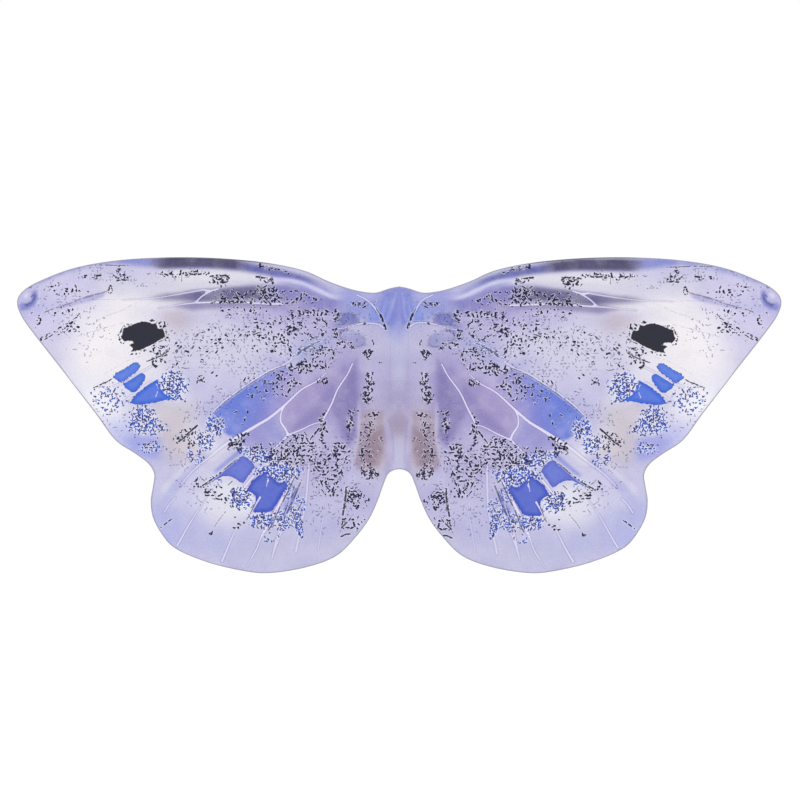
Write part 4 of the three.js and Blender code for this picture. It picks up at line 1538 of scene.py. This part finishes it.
def patchFace(r, angle):
    # domed, drawn down along its seam, and down at its rim
    t = tipPatch
    dome = t["top"] - t["dome"] * (r / t["radius"]) ** 2
    seam = 0.35 * np.exp(-((r - t["seam"]) / 0.8) ** 2) * (0.75 + 0.25 * np.cos(angle * 24))
    rim = 1.5 * smooth(0.90, 1.0, r / t["radius"]) ** 2
    return dome - seam - rim


def makeTipPatch(word, side):
    t = tipPatch
    radii = t["radius"] * np.linspace(0, 1, t["rings"] + 1)[1:] ** 0.9
    angles = np.linspace(0, 2 * math.pi, t["spokes"], endpoint=False)
    rr, aa = np.meshgrid(radii, angles, indexing="ij")
    frayed = rr * (1 + 0.006 * np.sin(aa * 9 + 1.3))
    x, z = frayed * np.cos(aa), frayed * np.sin(aa)
    outer = patchFace(rr, aa)
    inner = np.full_like(outer, t["under"])
    rows, spokes = outer.shape
    middle = side * patchX
    top, low = [np.stack([middle + x, y, patchZ + z], 2).reshape(-1, 3) for y in (outer, inner)]
    centres = [(middle, float(patchFace(0, 0.0)), patchZ), (middle, t["under"], patchZ)]
    verts = np.vstack([top, low, centres]) * mm
    shift, hub = rows * spokes, 2 * rows * spokes
    faces = []
    for k in range(spokes):
        n = (k + 1) % spokes
        faces.append((hub, n, k))
        faces.append((hub + 1, shift + k, shift + n))
        for i in range(rows - 1):
            a, b = i * spokes + k, i * spokes + n
            faces.append((a, b, b + spokes, a + spokes))
            faces.append((a + shift, a + spokes + shift, b + spokes + shift, b + shift))
        a, b = (rows - 1) * spokes + k, (rows - 1) * spokes + n
        faces.append((a, b, b + shift, a + shift))
    obj = newMesh(word + "_tip_patch_cloth", verts, faces)
    flat = np.stack([x, z, np.zeros_like(x)], 2).reshape(-1, 3)
    storePlace(obj.data, "bandPlace", np.vstack([flat, flat, np.zeros((2, 3))]))
    obj.data.materials.append(tapeCloth)
    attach(obj, word + "_wing")
    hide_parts(word + "_tip_patch")
    across = 2 * t["radius"] * mm
    math.pi * (across / 2) ** 2

    def onPatch(r, angle):
        y = patchFace(np.asarray(r, float), np.asarray(angle, float)) + stitch["sink"]
        return np.c_[middle + r * np.cos(angle), y, patchZ + r * np.sin(angle)]

    # a zigzag round the rim, and a cross over the ends of the loop
    turns = 2 * t["zigzags"] + 1
    radius = np.where(np.arange(turns) % 2 == 0, t["seam"] - t["zigzag"], t["seam"] + t["zigzag"])
    corner = onPatch(radius, np.linspace(0, 2 * math.pi, turns))
    pairs = list(zip(corner[:-1], corner[1:]))
    for angle in (math.radians(-55), math.radians(-125)):
        r = np.linspace(-5.5, 5.5, 12)
        line = onPatch(np.abs(r), np.where(r < 0, angle + math.pi, angle))
        pairs += stitchesAlong(line - np.array([0, 0, 0.8]))
    sewn = stitchMesh(word + "_tip_patch_stitches", pairs, radius=0.24)
    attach(sewn, word + "_wing")


makeTape()
makeTapeStitches()
for word, side in (("left", -1), ("right", 1)):
    makeTipPatch(word, side)
print("tape, patches and stitches made")


# floor and lamps
def stageMaterial():
    p = Paint("studio white")
    place = p.node("ShaderNodeNewGeometry", output="Position")
    mottle = p.noise(place, 0.4, 2.0)
    return p.finish(Base_Color=p.mix(mottle, (0.985, 0.985, 0.98), (0.995, 0.995, 0.99)), Roughness=1.0,
                    Specular_IOR_Level=0.0, Emission_Color=(1, 1, 1, 1), Emission_Strength=0.05)


def makeFloor():
    low = cadBox[0][2] - studio["floorDrop"]
    reach, sides = studio["floorReach"], studio["floorSides"]
    rim = [(reach * math.cos(a), reach * math.sin(a), low)
           for a in np.linspace(0, 2 * math.pi, sides, endpoint=False)]
    verts = [(0, 0, low)] + rim
    faces = [(0, i + 1, (i + 1) % sides + 1) for i in range(sides)]
    obj = newMesh("floor", verts, faces)
    obj.data.materials.append(stageMaterial())


# name, place, what it points at, size in m, power in W
lamps = [
    ("key left", (-1.6, -2.4, 1.5), (0, 0, 0), 1.6, 6.5),
    ("key right", (1.5, -2.6, 1.0), (0, 0, -0.1), 1.6, 5.2),
    ("back fill", (0.9, 2.2, 1.4), (0, 0, 0), 1.8, 5.0),
]


def areaLamp(name, place, target, size, power):
    lamp = bpy.data.lights.new(name, "AREA")
    lamp.shape = "DISK"
    lamp.size = size
    lamp.energy = power
    obj = bpy.data.objects.new(name, lamp)
    obj.location = place
    obj.rotation_euler = (Vector(target) - Vector(place)).to_track_quat("-Z", "Y").to_euler()
    bpy.context.scene.collection.objects.link(obj)


def makeLight():
    world = bpy.data.worlds.new("studio")
    world.use_nodes = True
    sky = world.node_tree.nodes["Background"]
    sky.inputs["Color"].default_value = (1, 1, 1, 1)
    sky.inputs["Strength"].default_value = studio["sky"]
    bpy.context.scene.world = world
    for lamp in lamps:
        areaLamp(*lamp)


makeFloor()
makeLight()
print("floor and lamps set")
